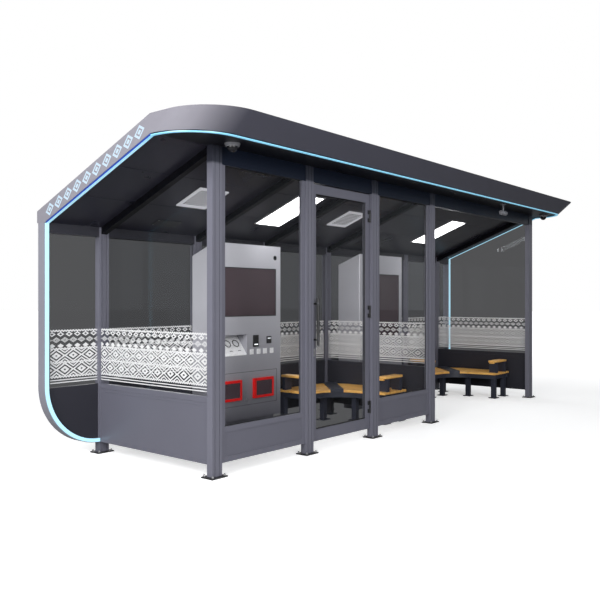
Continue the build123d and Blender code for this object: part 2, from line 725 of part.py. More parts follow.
def bench(name, corner):
    """Corner bench: boards, a steel frame with its legs, and an arm rest at each end."""
    cx, cy = corner
    board_z = SEAT_Z - SEAT_T
    apron_z = board_z - APRON_H
    gap = BOARD_GAP / SEAT_DEPTH
    inset = APRON_INSET / SEAT_DEPTH
    rail = (APRON_INSET + APRON_T) / SEAT_DEPTH
    end_back = cx - BENCH_BACK_LEG + LEG_W / 2 + APRON_INSET
    end_side = cy - BENCH_SIDE_LEG + LEG_W / 2 + APRON_INSET
    mid_back = cx - BENCH_BACK_LEG * MID_LEG
    mid_side = cy - BENCH_SIDE_LEG * MID_LEG
    front_y = cy - BENCH_GAP - SEAT_DEPTH + LEG_SETBACK
    front_x = cx - BENCH_GAP - SEAT_DEPTH + LEG_SETBACK
    wall_y = cy - FOOT_REACH - FOOT_CLEAR - (LEG_W + FOOT_Y) / 2
    wall_x = cx - FOOT_REACH - FOOT_CLEAR - (LEG_W + FOOT_X) / 2
    legs = [
        (end_back, front_y),
        (end_back, wall_y),
        (mid_back, front_y),
        (front_x, end_side),
        (wall_x, end_side),
        (front_x, mid_side),
        (wall_x - CORNER_LEG, wall_y - CORNER_LEG),
    ]

    with BuildPart() as boards:
        for index in range(BOARDS):
            near = index / BOARDS + (gap if index else 0)
            with BuildSketch(Plane.XY.offset(board_z)):
                add(seat_face(corner, near, (index + 1) / BOARDS))
                add(console_face(corner, CONSOLE_W + 2 * CONSOLE_GAP), mode=Mode.SUBTRACT)
            extrude(amount=SEAT_T)
    keep(f"{name}_boards", boards.part)

    with BuildSketch() as cross_bars:
        with Locations((end_back, cy - SEAT_DEPTH), (mid_back, cy - SEAT_DEPTH)):
            Rectangle(LEG_W, 2 * SEAT_DEPTH)
        with Locations((cx - SEAT_DEPTH, end_side), (cx - SEAT_DEPTH, mid_side)):
            Rectangle(2 * SEAT_DEPTH, LEG_W)
        add(console_face(corner, CONSOLE_W))
        add(seat_face(corner, inset, 1 - inset), mode=Mode.INTERSECT)
    with BuildSketch() as apron:
        add(seat_face(corner, inset, 1 - inset))
        add(seat_face(corner, rail, 1 - rail), mode=Mode.SUBTRACT)
        add(cross_bars.sketch)
    with BuildSketch() as console:
        add(console_face(corner, CONSOLE_W))
        add(seat_face(corner, 0, 1), mode=Mode.INTERSECT)

    with BuildPart() as frame:
        with BuildSketch(Plane.XY.offset(apron_z)):
            add(apron.sketch)
        extrude(amount=APRON_H)
        with BuildSketch(Plane.XY.offset(board_z)):
            add(console.sketch)
        extrude(amount=SEAT_T + CONSOLE_RISE)
        with BuildSketch():
            with Locations(*legs):
                Rectangle(LEG_W, LEG_W)
        extrude(amount=apron_z)
        with BuildSketch():
            with Locations(*legs):
                Rectangle(LEG_W + FOOT_X, LEG_W + FOOT_Y)
        extrude(amount=PLATE_T)
    keep(f"{name}_frame", frame.part)

    back_arm = Plane(
        origin=(cx - BENCH_BACK_LEG + ARM_W, cy - BENCH_GAP, 0), x_dir=(0, -1, 0), z_dir=(-1, 0, 0)
    )
    side_arm = Plane(
        origin=(cx - BENCH_GAP, cy - BENCH_SIDE_LEG, 0), x_dir=(-1, 0, 0), z_dir=(0, 1, 0)
    )
    arm_end = ARM_START + ARM_L
    with BuildPart() as rests:
        for plane in (back_arm, side_arm):
            with BuildSketch(plane):
                with BuildLine():
                    Polyline(
                        (ARM_START, ARM_Z - ARM_T),
                        (arm_end - ARM_T, ARM_Z - ARM_T),
                        (arm_end - ARM_T, ARM_Z - ARM_NOSE),
                        (arm_end, ARM_Z - ARM_NOSE),
                        (arm_end, ARM_Z),
                        (ARM_START, ARM_Z),
                        close=True,
                    )
                make_face()
            extrude(amount=ARM_W)
    keep(f"{name}_arm_rests", rests.part)

    with BuildPart() as brackets:
        for plane in (back_arm, side_arm):
            with BuildSketch(plane):
                with Locations(
                    (ARM_START + ARM_POST_W, (SEAT_Z + ARM_Z - ARM_T) / 2),
                    (arm_end - ARM_T - ARM_POST_W, (SEAT_Z + ARM_Z - ARM_T) / 2),
                ):
                    Rectangle(ARM_POST_W, ARM_Z - ARM_T - SEAT_Z)
            extrude(amount=ARM_W)
    keep(f"{name}_arm_posts", brackets.part)


bench("room_bench", (P4 - PANEL_T / 2, BACK_Y))
bench("open_bay_bench", (RIGHT_WALL_X - PANEL_T / 2, BACK_Y))


# ---------------------------------------------------------------- ceiling fittings
def under_soffit(x, y):
    """Plane against the sloping ceiling at a point, facing down, with its Y down the slope."""
    pitch = degrees(atan(SLOPE))
    return Plane(Location((x, y, soffit_z(y)), (180 - pitch, 0, 0)))


def ceiling_fittings(name, places, width, length, thickness):
    """Flat fittings of one kind against the sloping ceiling."""
    with BuildPart() as fittings:
        for x, y in places:
            with BuildSketch(under_soffit(x, y)):
                Rectangle(width, length)
            extrude(amount=thickness)
    keep(name, fittings.part)


BAY_MIDDLES = [(left + right) / 2 for left, right in zip(POST_X[:-1], POST_X[1:])]
fitting_y = FRONT_Y + FITTING_Y
cover_y = FRONT_Y + PLATE_COVER_Y
ceiling_fittings(
    "ceiling_lights",
    [(BAY_MIDDLES[n] + dx, fitting_y) for n, dx in zip((1, 3), LIGHT_OFFSETS)],
    LIGHT_W,
    LIGHT_L,
    LIGHT_T,
)
ceiling_fittings(
    "ceiling_vents",
    [(BAY_MIDDLES[n] + dx, fitting_y) for n, dx in zip((0, 2), VENT_OFFSETS)],
    VENT_SIZE,
    VENT_SIZE,
    VENT_T,
)
ceiling_fittings(
    "ceiling_cover_plates",
    [(BAY_MIDDLES[n] + dx, cover_y) for n, dx in zip((0, 2, 3), PLATE_COVER_OFFSETS)],
    PLATE_COVER_W,
    PLATE_COVER_L,
    PLATE_COVER_T,
)

domes = [(post_x + dx, FRONT_Y - DOME_Y) for post_x, dx in zip((P1, P5), DOME_OFFSETS)]
arm_camera_y = FRONT_Y - ARM_CAMERA_Y
with BuildPart() as cameras:
    with BuildSketch(Plane.XY.offset(SOFFIT_Z)):
        with Locations(*domes):
            Circle(DOME_R)
        with Locations((ARM_CAMERA_X, arm_camera_y)):
            Circle(ARM_CAMERA_BASE_R)
    extrude(amount=-DOME_H)
    with Locations(*[(x, y, SOFFIT_Z - DOME_H) for x, y in domes]):
        Sphere(DOME_BALL_R, arc_size1=-90, arc_size2=0)
    with BuildSketch(Plane.XY.offset(SOFFIT_Z)):
        with Locations((ARM_CAMERA_X, arm_camera_y)):
            Circle(ARM_CAMERA_STEM_R)
    extrude(amount=-ARM_CAMERA_DROP)
    with BuildSketch(Plane.YZ.offset(ARM_CAMERA_X - ARM_CAMERA_L / 2)):
        with Locations((arm_camera_y, SOFFIT_Z - ARM_CAMERA_DROP)):
            Circle(ARM_CAMERA_R)
    extrude(amount=ARM_CAMERA_L)
keep("cameras", cameras.part)
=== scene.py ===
# %% [markdown]
# # A bus shelter, dressed
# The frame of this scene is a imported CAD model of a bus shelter: a closed, glazed waiting
# room with a door, beside an open bay, under one roof. The CAD model fixes every size. This
# script gives each part its finish, adds the small parts that a solid model leaves out
# (bolts, seals, grilles, lamp rims, lenses), and sets up a plain studio around it.

# %% Load the frame
import math

import bmesh
import bpy
from mathutils import Matrix, Vector


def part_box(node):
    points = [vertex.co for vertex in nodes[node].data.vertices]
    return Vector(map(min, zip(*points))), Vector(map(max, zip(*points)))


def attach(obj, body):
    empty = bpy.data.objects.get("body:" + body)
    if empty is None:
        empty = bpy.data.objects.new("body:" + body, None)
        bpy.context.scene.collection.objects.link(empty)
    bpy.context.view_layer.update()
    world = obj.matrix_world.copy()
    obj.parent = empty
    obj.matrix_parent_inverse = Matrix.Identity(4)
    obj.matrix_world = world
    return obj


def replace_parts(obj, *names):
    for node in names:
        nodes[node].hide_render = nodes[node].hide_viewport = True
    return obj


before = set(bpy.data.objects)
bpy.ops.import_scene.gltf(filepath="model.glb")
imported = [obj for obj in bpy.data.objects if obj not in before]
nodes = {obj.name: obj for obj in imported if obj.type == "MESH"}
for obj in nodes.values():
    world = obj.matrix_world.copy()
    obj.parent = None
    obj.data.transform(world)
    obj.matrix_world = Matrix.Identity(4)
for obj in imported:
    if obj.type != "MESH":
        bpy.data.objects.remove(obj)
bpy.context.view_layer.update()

# %% [markdown]
# Places are read from the boxes of the CAD nodes, so an added part goes exactly where the
# solid model says. X runs along the shelter, -Y is the street side, Z is up, and
# everything is in metres.

# %% Measure the shelter
SOFFIT_DEPTH = 0.075  # how far behind the posts' street face the level soffit ends

post_low, post_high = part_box("front_post_1")
front_y = post_low.y
back_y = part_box("back_posts")[0].y
soffit_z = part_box("front_lintels")[1].z
level_end_y = front_y + SOFFIT_DEPTH
slope = (soffit_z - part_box("ceiling")[0].z) / (back_y - level_end_y)
pitch = math.atan(slope)
post_width, post_depth = post_high.x - post_low.x, post_high.y - front_y
posts = [sum(corner.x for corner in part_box(f"front_post_{n}")) / 2 for n in range(1, 6)]
open_third = (posts[4] - posts[3]) / 3
back_posts = posts[:4] + [posts[3] + open_third, posts[3] + 2 * open_third, posts[4]]
back_bays = [
    (left + post_width / 2, right - post_width / 2)
    for left, right in zip(back_posts[:-1], back_posts[1:])
]
lintel_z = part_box("front_lintels")[0].z
back_lintel_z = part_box("back_lintels")[0].z
sill_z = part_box("back_glass")[0].z
roof_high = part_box("roof_shell")[1]
roof_side, roof_rise = roof_high.x, roof_high.z - soffit_z
print("posts at", [round(x, 3) for x in posts], "slope", round(slope, 4))


def ceiling_z(y):
    """Height of the ceiling boards above a place."""
    return soffit_z - slope * max(0.0, min(y, back_y) - level_end_y)


# %% [markdown]
# ## Modelling helpers
# Each small part starts from one of Blender's primitives, added at its size and place. Its
# transform is applied at once, so the object stays at the origin. Faces and edges are then
# picked in code, by where they are and which way they face, and edit-mode tools shape them.

# %% Helpers that start and shape a piece
X, Y, Z = Vector((1, 0, 0)), Vector((0, 1, 0)), Vector((0, 0, 1))
link = bpy.context.scene.collection.objects.link


def only(piece):
    """Leaves edit mode and selects one piece alone, as the one that operators act on."""
    bpy.ops.object.mode_set(mode="OBJECT")
    bpy.ops.object.select_all(action="DESELECT")
    piece.select_set(True)
    bpy.context.view_layer.objects.active = piece


def settle():
    """Puts the place of the piece in hand into its mesh."""
    bpy.ops.object.transform_apply(location=True, rotation=True, scale=True)
    return bpy.context.object


def start(add, **settings):
    """Adds a primitive, with all else deselected, and puts its place into its mesh."""
    bpy.ops.object.select_all(action="DESELECT")
    add(**settings)
    return settle()


def block(low, high):
    """Starts a piece from a cube between two corners."""
    low, high = Vector(low), Vector(high)
    add = bpy.ops.mesh.primitive_cube_add
    return start(add, size=1, location=(low + high) / 2, scale=high - low)


def rod(bottom, top, radius, sides=24):
    """Starts a piece from a cylinder between two points."""
    bottom, top = Vector(bottom), Vector(top)
    return start(
        bpy.ops.mesh.primitive_cylinder_add,
        vertices=sides,
        radius=radius,
        depth=(top - bottom).length,
        location=(bottom + top) / 2,
        rotation=(top - bottom).to_track_quat("Z", "Y").to_euler(),
    )


def pick(piece, kind, test):
    """Selects the faces or edges whose middle and direction pass a test, in edit mode."""
    bpy.ops.mesh.select_mode(type=kind)
    bpy.ops.mesh.select_all(action="DESELECT")
    form = bmesh.from_edit_mesh(piece.data)
    form.normal_update()
    for part in form.faces if kind == "FACE" else form.edges:
        middle = sum((corner.co for corner in part.verts), Vector()) / len(part.verts)
        if kind == "FACE":
            direction = part.normal
        else:
            direction = (part.verts[1].co - part.verts[0].co).normalized()
        part.select_set(bool(test(middle, direction)))
    form.select_flush_mode()
    bmesh.update_edit_mesh(piece.data)


def edit(piece):
    """Goes into edit mode on one piece."""
    only(piece)
    bpy.ops.object.mode_set(mode="EDIT")


def soften(piece, width, segments=2):
    """Rounds a piece's sharp edges with a bevel that is then applied."""
    only(piece)
    bevel = piece.modifiers.new("soft edges", "BEVEL")
    bevel.width = width
    bevel.segments = segments
    bevel.limit_method = "ANGLE"
    bevel.angle_limit = math.radians(30)
    bpy.ops.object.modifier_apply(modifier=bevel.name)
    return piece


def ring(low, high, across, width):
    """A flat frame: a block whose two faces across one axis are inset and joined by a hole."""
    piece = block(low, high)
    edit(piece)
    pick(piece, "FACE", lambda middle, facing: abs(facing.dot(across)) > 0.9)
    bpy.ops.mesh.inset(thickness=width, use_individual=True)
    bpy.ops.mesh.bridge_edge_loops()
    bpy.ops.mesh.select_all(action="SELECT")
    bpy.ops.mesh.normals_make_consistent(inside=False)
    bpy.ops.object.mode_set(mode="OBJECT")
    return piece


def join(pieces):
    """Joins pieces into one."""
    only(pieces[0])
    for piece in pieces[1:]:
        piece.select_set(True)
    if len(pieces) > 1:
        bpy.ops.object.join()
    return pieces[0]


def copies(piece, offsets):
    """The piece and a copy of it, with its own mesh, at each further offset."""
    made = [piece]
    for offset in offsets:
        twin = piece.copy()
        twin.data = piece.data.copy()
        twin.data.transform(Matrix.Translation(offset))
        link(twin)
        made.append(twin)
    return made


def lean(piece, place):
    """Turns a piece made flat under the origin to lie on the sloping ceiling at a place."""
    piece.rotation_euler = (-pitch, 0, 0)
    piece.location = place
    only(piece)
    return settle()


def dress(name, pieces, finish, body="shelter", smooth=None):
    """Joins pieces under one name and gives them a finish and a body."""
    piece = join(pieces)
    piece.name = piece.data.name = name
    piece.data.materials.clear()
    piece.data.materials.append(finish)
    if smooth:
        bpy.ops.object.shade_smooth_by_angle(angle=math.radians(smooth))
    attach(piece, body)
    print(name, len(piece.data.polygons), "faces")
    return piece


# %% [markdown]
# ## Shader helpers
# A finish is a tree of nodes. Node maths is hard to read, so one small class wraps a socket:
# adding or multiplying two of them adds the Math node that does it. Every other node comes
# from one method, which sets the node's options and then its inputs.


# %% Helpers that write shader maths as Python
def maths(operation, swapped=False):
    """Makes a method that adds one Math node; swapped puts the signal itself last."""

    def method(self, *others):
        values = (*others, self) if swapped else (self, *others)
        return self.finish.node("ShaderNodeMath", {"operation": operation}, values)

    return method


class Signal:
    """One output socket, which can be added, multiplied and compared."""

    def __init__(self, finish, socket):
        self.finish = finish
        self.socket = socket

    __add__ = __radd__ = maths("ADD")
    __sub__, __rsub__ = maths("SUBTRACT"), maths("SUBTRACT", swapped=True)
    __mul__ = __rmul__ = maths("MULTIPLY")
    __truediv__ = maths("DIVIDE")
    __gt__, __lt__ = maths("GREATER_THAN"), maths("LESS_THAN")
    __abs__, fraction = maths("ABSOLUTE"), maths("FRACT")
    larger, smaller = maths("MAXIMUM"), maths("MINIMUM")

    def clamped(self):
        return self.larger(0.0).smaller(1.0)


class Finish:
    """A material under construction, or a sky, which is built from nodes in the same way."""

    def __init__(self, name, kind=bpy.data.materials):
        self.owner = kind.new(name)
        self.owner.use_nodes = True
        self.tree = self.owner.node_tree
        self.tree.nodes.clear()

    def node(self, kind, settings=None, values=(), output=0):
        """Adds a node: its settings first, then what goes into its sockets."""
        node = self.tree.nodes.new(kind)
        for key, value in (settings or {}).items():
            if key == "stops":
                ramp = node.color_ramp
                ramp.elements.remove(ramp.elements[-1])
                ramp.elements[0].position, ramp.elements[0].color = value[0]
                for position, colour in value[1:]:
                    ramp.elements.new(position).color = colour
            elif key == "ramp":
                node.color_ramp.interpolation = value
            else:
                setattr(node, key, value)
        pairs = values.items() if isinstance(values, dict) else enumerate(values)
        for key, value in pairs:
            if isinstance(value, Signal):
                self.tree.links.new(value.socket, node.inputs[key])
            else:
                node.inputs[key].default_value = value
        return Signal(self, node.outputs[output]) if node.outputs else None

    def place(self):
        """The point on the piece, in the piece's own frame."""
        return self.node("ShaderNodeTexCoord", output="Object")

    def axes(self):
        """The same point as three separate numbers."""
        split = self.node("ShaderNodeSeparateXYZ", values={"Vector": self.place()}).socket.node
        return [Signal(self, split.outputs[axis]) for axis in "XYZ"]

    def ray(self, *facts):
        """What the Light Path node says about the ray, one signal for each fact."""
        path = self.node("ShaderNodeLightPath").socket.node
        return [Signal(self, path.outputs[fact]) for fact in facts]

    def noise(self, scale, detail=3.0, roughness=0.5, where=None):
        """Soft random pattern from 0 to 1; scale is in patches a metre."""
        values = {"Vector": where or self.place(), "Scale": scale}
        values |= {"Detail": detail, "Roughness": roughness}
        return self.node("ShaderNodeTexNoise", values=values)

    def between(self, share, one, other):
        """Colour that goes from one to the other as share goes from 0 to 1."""
        values = {0: share, 6: one, 7: other}
        return self.node("ShaderNodeMix", {"data_type": "RGBA"}, values, output=2)

    def bump(self, height, strength, distance):
        """Normal of a surface that is pressed up and down by a height."""
        values = {"Strength": strength, "Distance": distance, "Height": height}
        return self.node("ShaderNodeBump", values=values)

    def close(self, **sockets):
        """Ends the tree in one Principled shader, with the sockets given by name."""
        values = {key.replace("_", " "): value for key, value in sockets.items()}
        shader = self.node("ShaderNodeBsdfPrincipled", values=values)
        self.node("ShaderNodeOutputMaterial", values={"Surface": shader})
        return self.owner


# %% [markdown]
# ## Finishes
# The steel is powder coated. Close up, it has a fine orange-peel surface, tiny lighter and
# darker specks, and large areas that are a little more or less worn. One recipe, with the
# colour and gloss left open, makes all the painted parts.


# %% Powder coat
def toned(colour, factor):
    """The same colour, darker or lighter, and never past white."""
    return tuple(min(1.0, channel * factor) for channel in colour[:3]) + (1,)


def powder_coat(name, colour, gloss=0.42, sheen=0.5, painted_shade_above=None):
    """Painted steel; the last argument, if given, is a height above which painted shade darkens
    it.
    """
    finish = Finish(f"{name} powder coat")
    specks = finish.noise(900, 2.0)
    clouds = finish.noise(1.6, 4.0)
    wear = finish.noise(14.0, 5.0, 0.6)
    shade = (specks - 0.5) * 0.10 + (clouds - 0.5) * 0.16 + (wear - 0.5) * 0.06
    base = finish.between(shade + 0.5, toned(colour, 0.55), toned(colour, 1.45))
    # painted shade: above the given height the coat turns blue-black, for the shadow under the
    # roof's overhang
    if painted_shade_above:
        roof_shadow_band = ((finish.axes()[2] - painted_shade_above) * 45.0).clamped()
        base = finish.between(roof_shadow_band * 0.86, base, (0.006, 0.008, 0.018, 1))
    peel = finish.noise(420, 2.0)
    return finish.close(
        Base_Color=base,
        Roughness=gloss + (wear - 0.5) * 0.14,
        Specular_IOR_Level=sheen,
        Normal=finish.bump(peel, 0.12, 0.0006),
    )


frame_paint = powder_coat("lilac grey", (0.128, 0.128, 0.162, 1))
# painted shade: the posts darken above the lintels' underside, where the roof overhang's shadow
# falls
post_paint = powder_coat("post", (0.142, 0.142, 0.178, 1), painted_shade_above=lintel_z - 0.006)
panel_paint = powder_coat("panel", (0.120, 0.120, 0.152, 1), gloss=0.38)
# painted shade: the front lintels are near black, for the shadow under the roof's overhang
shaded_lintel_paint = powder_coat("lintel", (0.006, 0.009, 0.020, 1), gloss=0.34, sheen=0.2)
# painted shade: the rafters are black, for the shadow they lie in under the roof
shaded_rafter_paint = powder_coat("rafter", (0.004, 0.004, 0.006, 1), gloss=0.45, sheen=0.1)
# painted shade: a darker copy of the panel paint for the parts inside and at the back, which
# stand in shade
inner_painted_shade_paint = powder_coat("inner painted shade", (0.024, 0.024, 0.032, 1), gloss=0.4, sheen=0.3)
bench_paint = powder_coat("blue black", (0.030, 0.033, 0.050, 1), gloss=0.34)
plate_paint = powder_coat("foot plate", (0.012, 0.012, 0.014, 1), gloss=0.5)
# painted light: the end rims are pale, for the light falling on the roof's ends
painted_light_rim_paint = powder_coat("pale trim", (0.23, 0.23, 0.27, 1), gloss=0.36)
print("painted finishes:", len(bpy.data.materials))

# %% [markdown]
# The roof is the same steel in a smoother, darker coat. Its sloping side edges are paler, as
# painted light, and its long front edge is darker, as painted shade; the change runs round
# the corner. Seams run from front to back as shallow lines. Each side edge carries ten plain
# lit diamonds.

# %% Roof sheet, ceiling boards, kiosk steel
SEAM_SPACING, SEAM_SHARE = 1.1667, 0.0035
SIGN_COUNT, SIGN_START, SIGN_END = 10, 0.20, 1.42  # from the posts' street face
SIGN_HALF_WIDE, SIGN_HALF_TALL = 0.062, 0.054
TOP_Z = 2.68  # the seams show above it


def roof_sheet():
    """Dark satin sheet with seams; painted light on the side edges, painted shade on the front.
    """
    finish = Finish("roof sheet")
    x, y, z = finish.axes()
    specks = finish.noise(700, 2.0)
    clouds = finish.noise(1.1, 3.0)
    # painted light and shade: the sloping side edges take the pale colour and the front the dark
    # one, for how the light falls
    side = ((abs(x) - roof_side + 0.40) * 3.3).clamped()
    shade = (specks - 0.5) * 0.08 + (clouds - 0.5) * 0.25 + 0.5
    front = finish.between(shade, (0.054, 0.054, 0.074, 1), (0.080, 0.080, 0.108, 1))
    lit_flank = finish.between(shade, (0.19, 0.185, 0.215, 1), (0.27, 0.262, 0.30, 1))
    above = z - (soffit_z + roof_rise / 2) + (y - level_end_y).larger(0.0) * slope
    first, last = front_y + SIGN_START, front_y + SIGN_END
    step = (last - first) / (SIGN_COUNT - 1)
    spot = ((y - first) / step + 0.5).fraction() - 0.5
    shape = abs(spot) * (step / SIGN_HALF_WIDE) + abs(above) / SIGN_HALF_TALL
    lit = (shape < 1.0) * (shape > 0.62).larger(shape < 0.36)
    lit = lit * (y > first - step / 2) * (y < last + step / 2) * (abs(x) > roof_side - 0.001)
    seam = abs((x / SEAM_SPACING).fraction() - 0.5) < SEAM_SHARE
    top = (z > TOP_Z).larger(y > level_end_y) * seam
    return finish.close(
        Base_Color=finish.between(side, front, lit_flank),
        Roughness=0.36 + (clouds - 0.5) * 0.12,
        Normal=finish.bump(specks * 0.25 - top, 0.3, 0.002),
        Emission_Color=finish.between(lit, (0, 0, 0, 1), (0.30, 0.48, 0.58, 1)),
        Emission_Strength=1.0,
    )


def ceiling_board():
    """Dark satin boards."""
    finish = Finish("ceiling board")
    clouds = finish.noise(2.2, 3.0)
    specks = finish.noise(500, 2.0)
    shade = clouds + (specks - 0.5) * 0.1
    base = finish.between(shade, (0.014, 0.014, 0.021, 1), (0.032, 0.032, 0.046, 1))
    outside = ((level_end_y - finish.axes()[1]) * 20.0).clamped()
    base = finish.between(outside * 0.8, base, (0.003, 0.003, 0.004, 1))
    return finish.close(
        Base_Color=base,
        Roughness=0.30 + (clouds - 0.5) * 0.16,
        Specular_IOR_Level=0.18,
        Normal=finish.bump(specks, 0.08, 0.0006),
    )


def kiosk_steel():
    """Satin grey cabinet sheet: painted shade at its foot, painted light from the lamps above."""
    finish = Finish("kiosk steel")
    z = finish.axes()[2]
    clouds = finish.noise(1.3, 3.0)
    specks = finish.noise(600, 2.0)
    # painted shade and light: dark near the floor and paler upwards, for the ceiling lamps' light
    painted_shade_to_light = ((z - 0.15) / 0.5).clamped() * 0.4
    painted_shade_to_light = painted_shade_to_light + ((z - 0.7) / 1.3).clamped() * 0.55
    share = painted_shade_to_light + (clouds - 0.5) * 0.25 + (specks - 0.5) * 0.06
    base = finish.between(share, (0.085, 0.085, 0.105, 1), (0.62, 0.62, 0.67, 1))
    return finish.close(
        Base_Color=base,
        Roughness=0.40 + (clouds - 0.5) * 0.14,
        Metallic=0.15,
        Normal=finish.bump(specks, 0.08, 0.0005),
    )


def dark_gloss(name, colour, gloss):
    """Dark glossy face of a screen, lens or window, with faint smears."""
    finish = Finish(name)
    smears = finish.noise(7.0, 4.0, 0.6)
    dust = finish.noise(260, 2.0)
    lighter = tuple(channel * 1.8 + 0.003 for channel in colour[:3]) + (1,)
    return finish.close(
        Base_Color=finish.between(smears * 0.8 + dust * 0.1, colour, lighter),
        Roughness=gloss + smears * 0.10,
        Normal=finish.bump(smears, 0.03, 0.001),
    )


roof_finish = roof_sheet()
ceiling_finish = ceiling_board()
kiosk_finish = kiosk_steel()
screen_finish = dark_gloss("screen glass", (0.044, 0.029, 0.035, 1), 0.14)
lens_finish = dark_gloss("lens glass", (0.004, 0.004, 0.006, 1), 0.03)

# %% [markdown]
# The glass is a thin clear pane: it lets most light through and mirrors a little, more at a
# flat angle, which is what the Layer Weight node gives. The panes of the back, the ends and
# the partition also carry a white printed band: rows of diamonds between zigzag lines. It is
# worked out from the height and the distance along the pane, so it keeps its true size.


# %% Glass, plain and printed
def diamonds(finish, along, height, period, middle, tall, stops, shift):
    """White share of a row of concentric diamonds; stops say where each ring changes."""
    across = abs((along / period + shift).fraction() - 0.5) * 2.0
    distance = across + abs(height - middle) / (tall / 2)
    settings = {
        "ramp": "CONSTANT",
        "stops": [(edge / 2, (white, white, white, 1)) for edge, white in stops],
    }
    rings = finish.node("ShaderNodeValToRGB", settings, {"Fac": distance / 2})
    inside = abs(height - middle) < tall / 2
    return rings * inside


def line(height, at, thick=0.009):
    """White share of a level line."""
    return abs(height - at) < thick / 2


def zigzag(along, height, at, thick=0.007, period=0.028, swing=0.010):
    """White share of a small zigzag line."""
    wave = (abs((along / period).fraction() - 0.5) - 0.25) * (2 * swing)
    return abs(height - at - wave) < thick


# How a diamond's rings change from its middle outwards: 1 is printed, 0 is clear.
OUTLINED = [(0.0, 0), (0.38, 1), (0.86, 0)]
TWO_RINGS = [(0.0, 1), (0.18, 0), (0.42, 1), (0.64, 0), (0.78, 1), (0.96, 0)]
FILLED = [(0.0, 1), (0.78, 0)]
CONCENTRIC = [
    (0.0, 0), (0.16, 1), (0.55, 0), (0.82, 1), (1.10, 0), (1.34, 1), (1.60, 0), (1.80, 1),
]
# Rows of diamonds: length of a diamond, middle height, height of the row, rings, shift.
DIAMOND_ROWS = [
    (0.084, 1.0995, 0.051, OUTLINED, 0.0),
    (0.084, 1.0485, 0.051, TWO_RINGS, 0.5),
    (0.084, 0.9975, 0.051, FILLED, 0.0),
    (0.168, 0.9115, 0.109, CONCENTRIC, 0.0),
    (0.168, 0.7880, 0.114, CONCENTRIC, 0.5),
]
LINE_HEIGHTS = (0.698, 0.675)
ZIGZAG_HEIGHTS = (1.129, 0.972, 0.851, 0.725)
RIM_DEPTH = 0.075  # the back wall's print stops this far from the roof's side edges


def glass(name, printed_along=None, pane=None):
    """A thin pane; its print runs along one axis, on the side that faces -X or -Y."""
    finish = Finish(name)
    facing = finish.node("ShaderNodeLayerWeight", values={"Blend": 0.5}, output=1)
    smears = finish.noise(5.0, 4.0, 0.6)
    clear = facing * facing * facing * facing * 0.3 + smears * 0.004 + 0.003
    if printed_along is None:
        dust = finish.noise(300, 2.0)
        return finish.close(
            Base_Color=finish.between(dust, (0.70, 0.76, 0.82, 1), (0.80, 0.85, 0.90, 1)),
            Metallic=1.0,
            Roughness=0.015 + smears * 0.02,
            Alpha=clear,
        )
    axes = finish.axes()
    along, z = axes[printed_along], axes[2]
    rows = [diamonds(finish, along, z, *row) for row in DIAMOND_ROWS]
    rows += [line(z, at) for at in LINE_HEIGHTS]
    rows += [zigzag(along, z, at) for at in ZIGZAG_HEIGHTS]
    white = rows[0]
    for row in rows[1:]:
        white = white.larger(row)
    if printed_along == 0:
        white = white * (abs(along) < roof_side - RIM_DEPTH)
    across = 1 - printed_along
    middle = sum(corner[across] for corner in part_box(pane)) / 2
    white = white * (axes[across] < middle)
    grain = finish.noise(400, 2.0)
    paint = finish.between(grain, (0.66, 0.66, 0.67, 1), (0.80, 0.80, 0.80, 1))
    return finish.close(
        Base_Color=finish.between(white, (0.76, 0.82, 0.88, 1), paint),
        Metallic=1.0 - white,
        Roughness=0.015 + smears * 0.02 + white * 0.45,
        Alpha=clear.larger(white * 0.93),
    )


plain_glass = glass("clear glass")
back_print = glass("printed glass along the back", 0, "back_glass")
side_prints = {
    name: glass(f"printed {name.replace('_', ' ')}", 1, name)
    for name in ("left_wall_glass", "partition_glass", "right_wall_glass")
}

# %% [markdown]
# The ceiling lights are flat white panels that glow. The light strip under the roof's edge
# is pale blue. Its upper half is near black, as painted shadow of the channel it sits in, and
# its outer faces up the sloping sides are a deeper blue, as a painted reflection of its glow.


# %% Lamps, wood and small finishes
STRIP_HALF = 0.0075  # about half the strip's thickness
WOOD_TONES = [
    (0.0, (0.42, 0.16, 0.030, 1)),
    (0.34, (0.78, 0.38, 0.085, 1)),
    (0.62, (0.96, 0.55, 0.150, 1)),
    (1.0, (1.00, 0.70, 0.270, 1)),
]


def lamp(name, colour, strength, edge=None):
    """Milky plastic lit from behind; edge colours a painted reflection and adds a painted shadow.
    """
    finish = Finish(name)
    patches = finish.noise(30.0, 2.0)
    glow = finish.between(patches, toned(colour, 0.92), colour)
    if edge:
        x, y, z = finish.axes()
        run = (y - level_end_y).larger(0.0)
        sloping = (y > level_end_y) * (y < back_y - 0.015)
        # painted reflection: the outer faces up the sloping sides take the deeper blue, for the
        # glow on the strip's unlit side
        outer = (abs(x) > roof_side - STRIP_HALF) * sloping
        # painted shadow: the strip's upper half turns near black, for the recessed channel it
        # sits in
        channel = z > (soffit_z - STRIP_HALF) - run * slope
        pale = finish.between((run * 8.0).smaller(1.0), glow, (0.32, 0.56, 0.68, 1))
        glow = finish.between(outer, pale, edge)
        glow = finish.between(channel * (1.0 - outer), glow, (0.004, 0.012, 0.022, 1))
    return finish.close(
        Base_Color=glow,
        Roughness=0.25 + patches * 0.1,
        Emission_Color=glow,
        Emission_Strength=strength,
    )


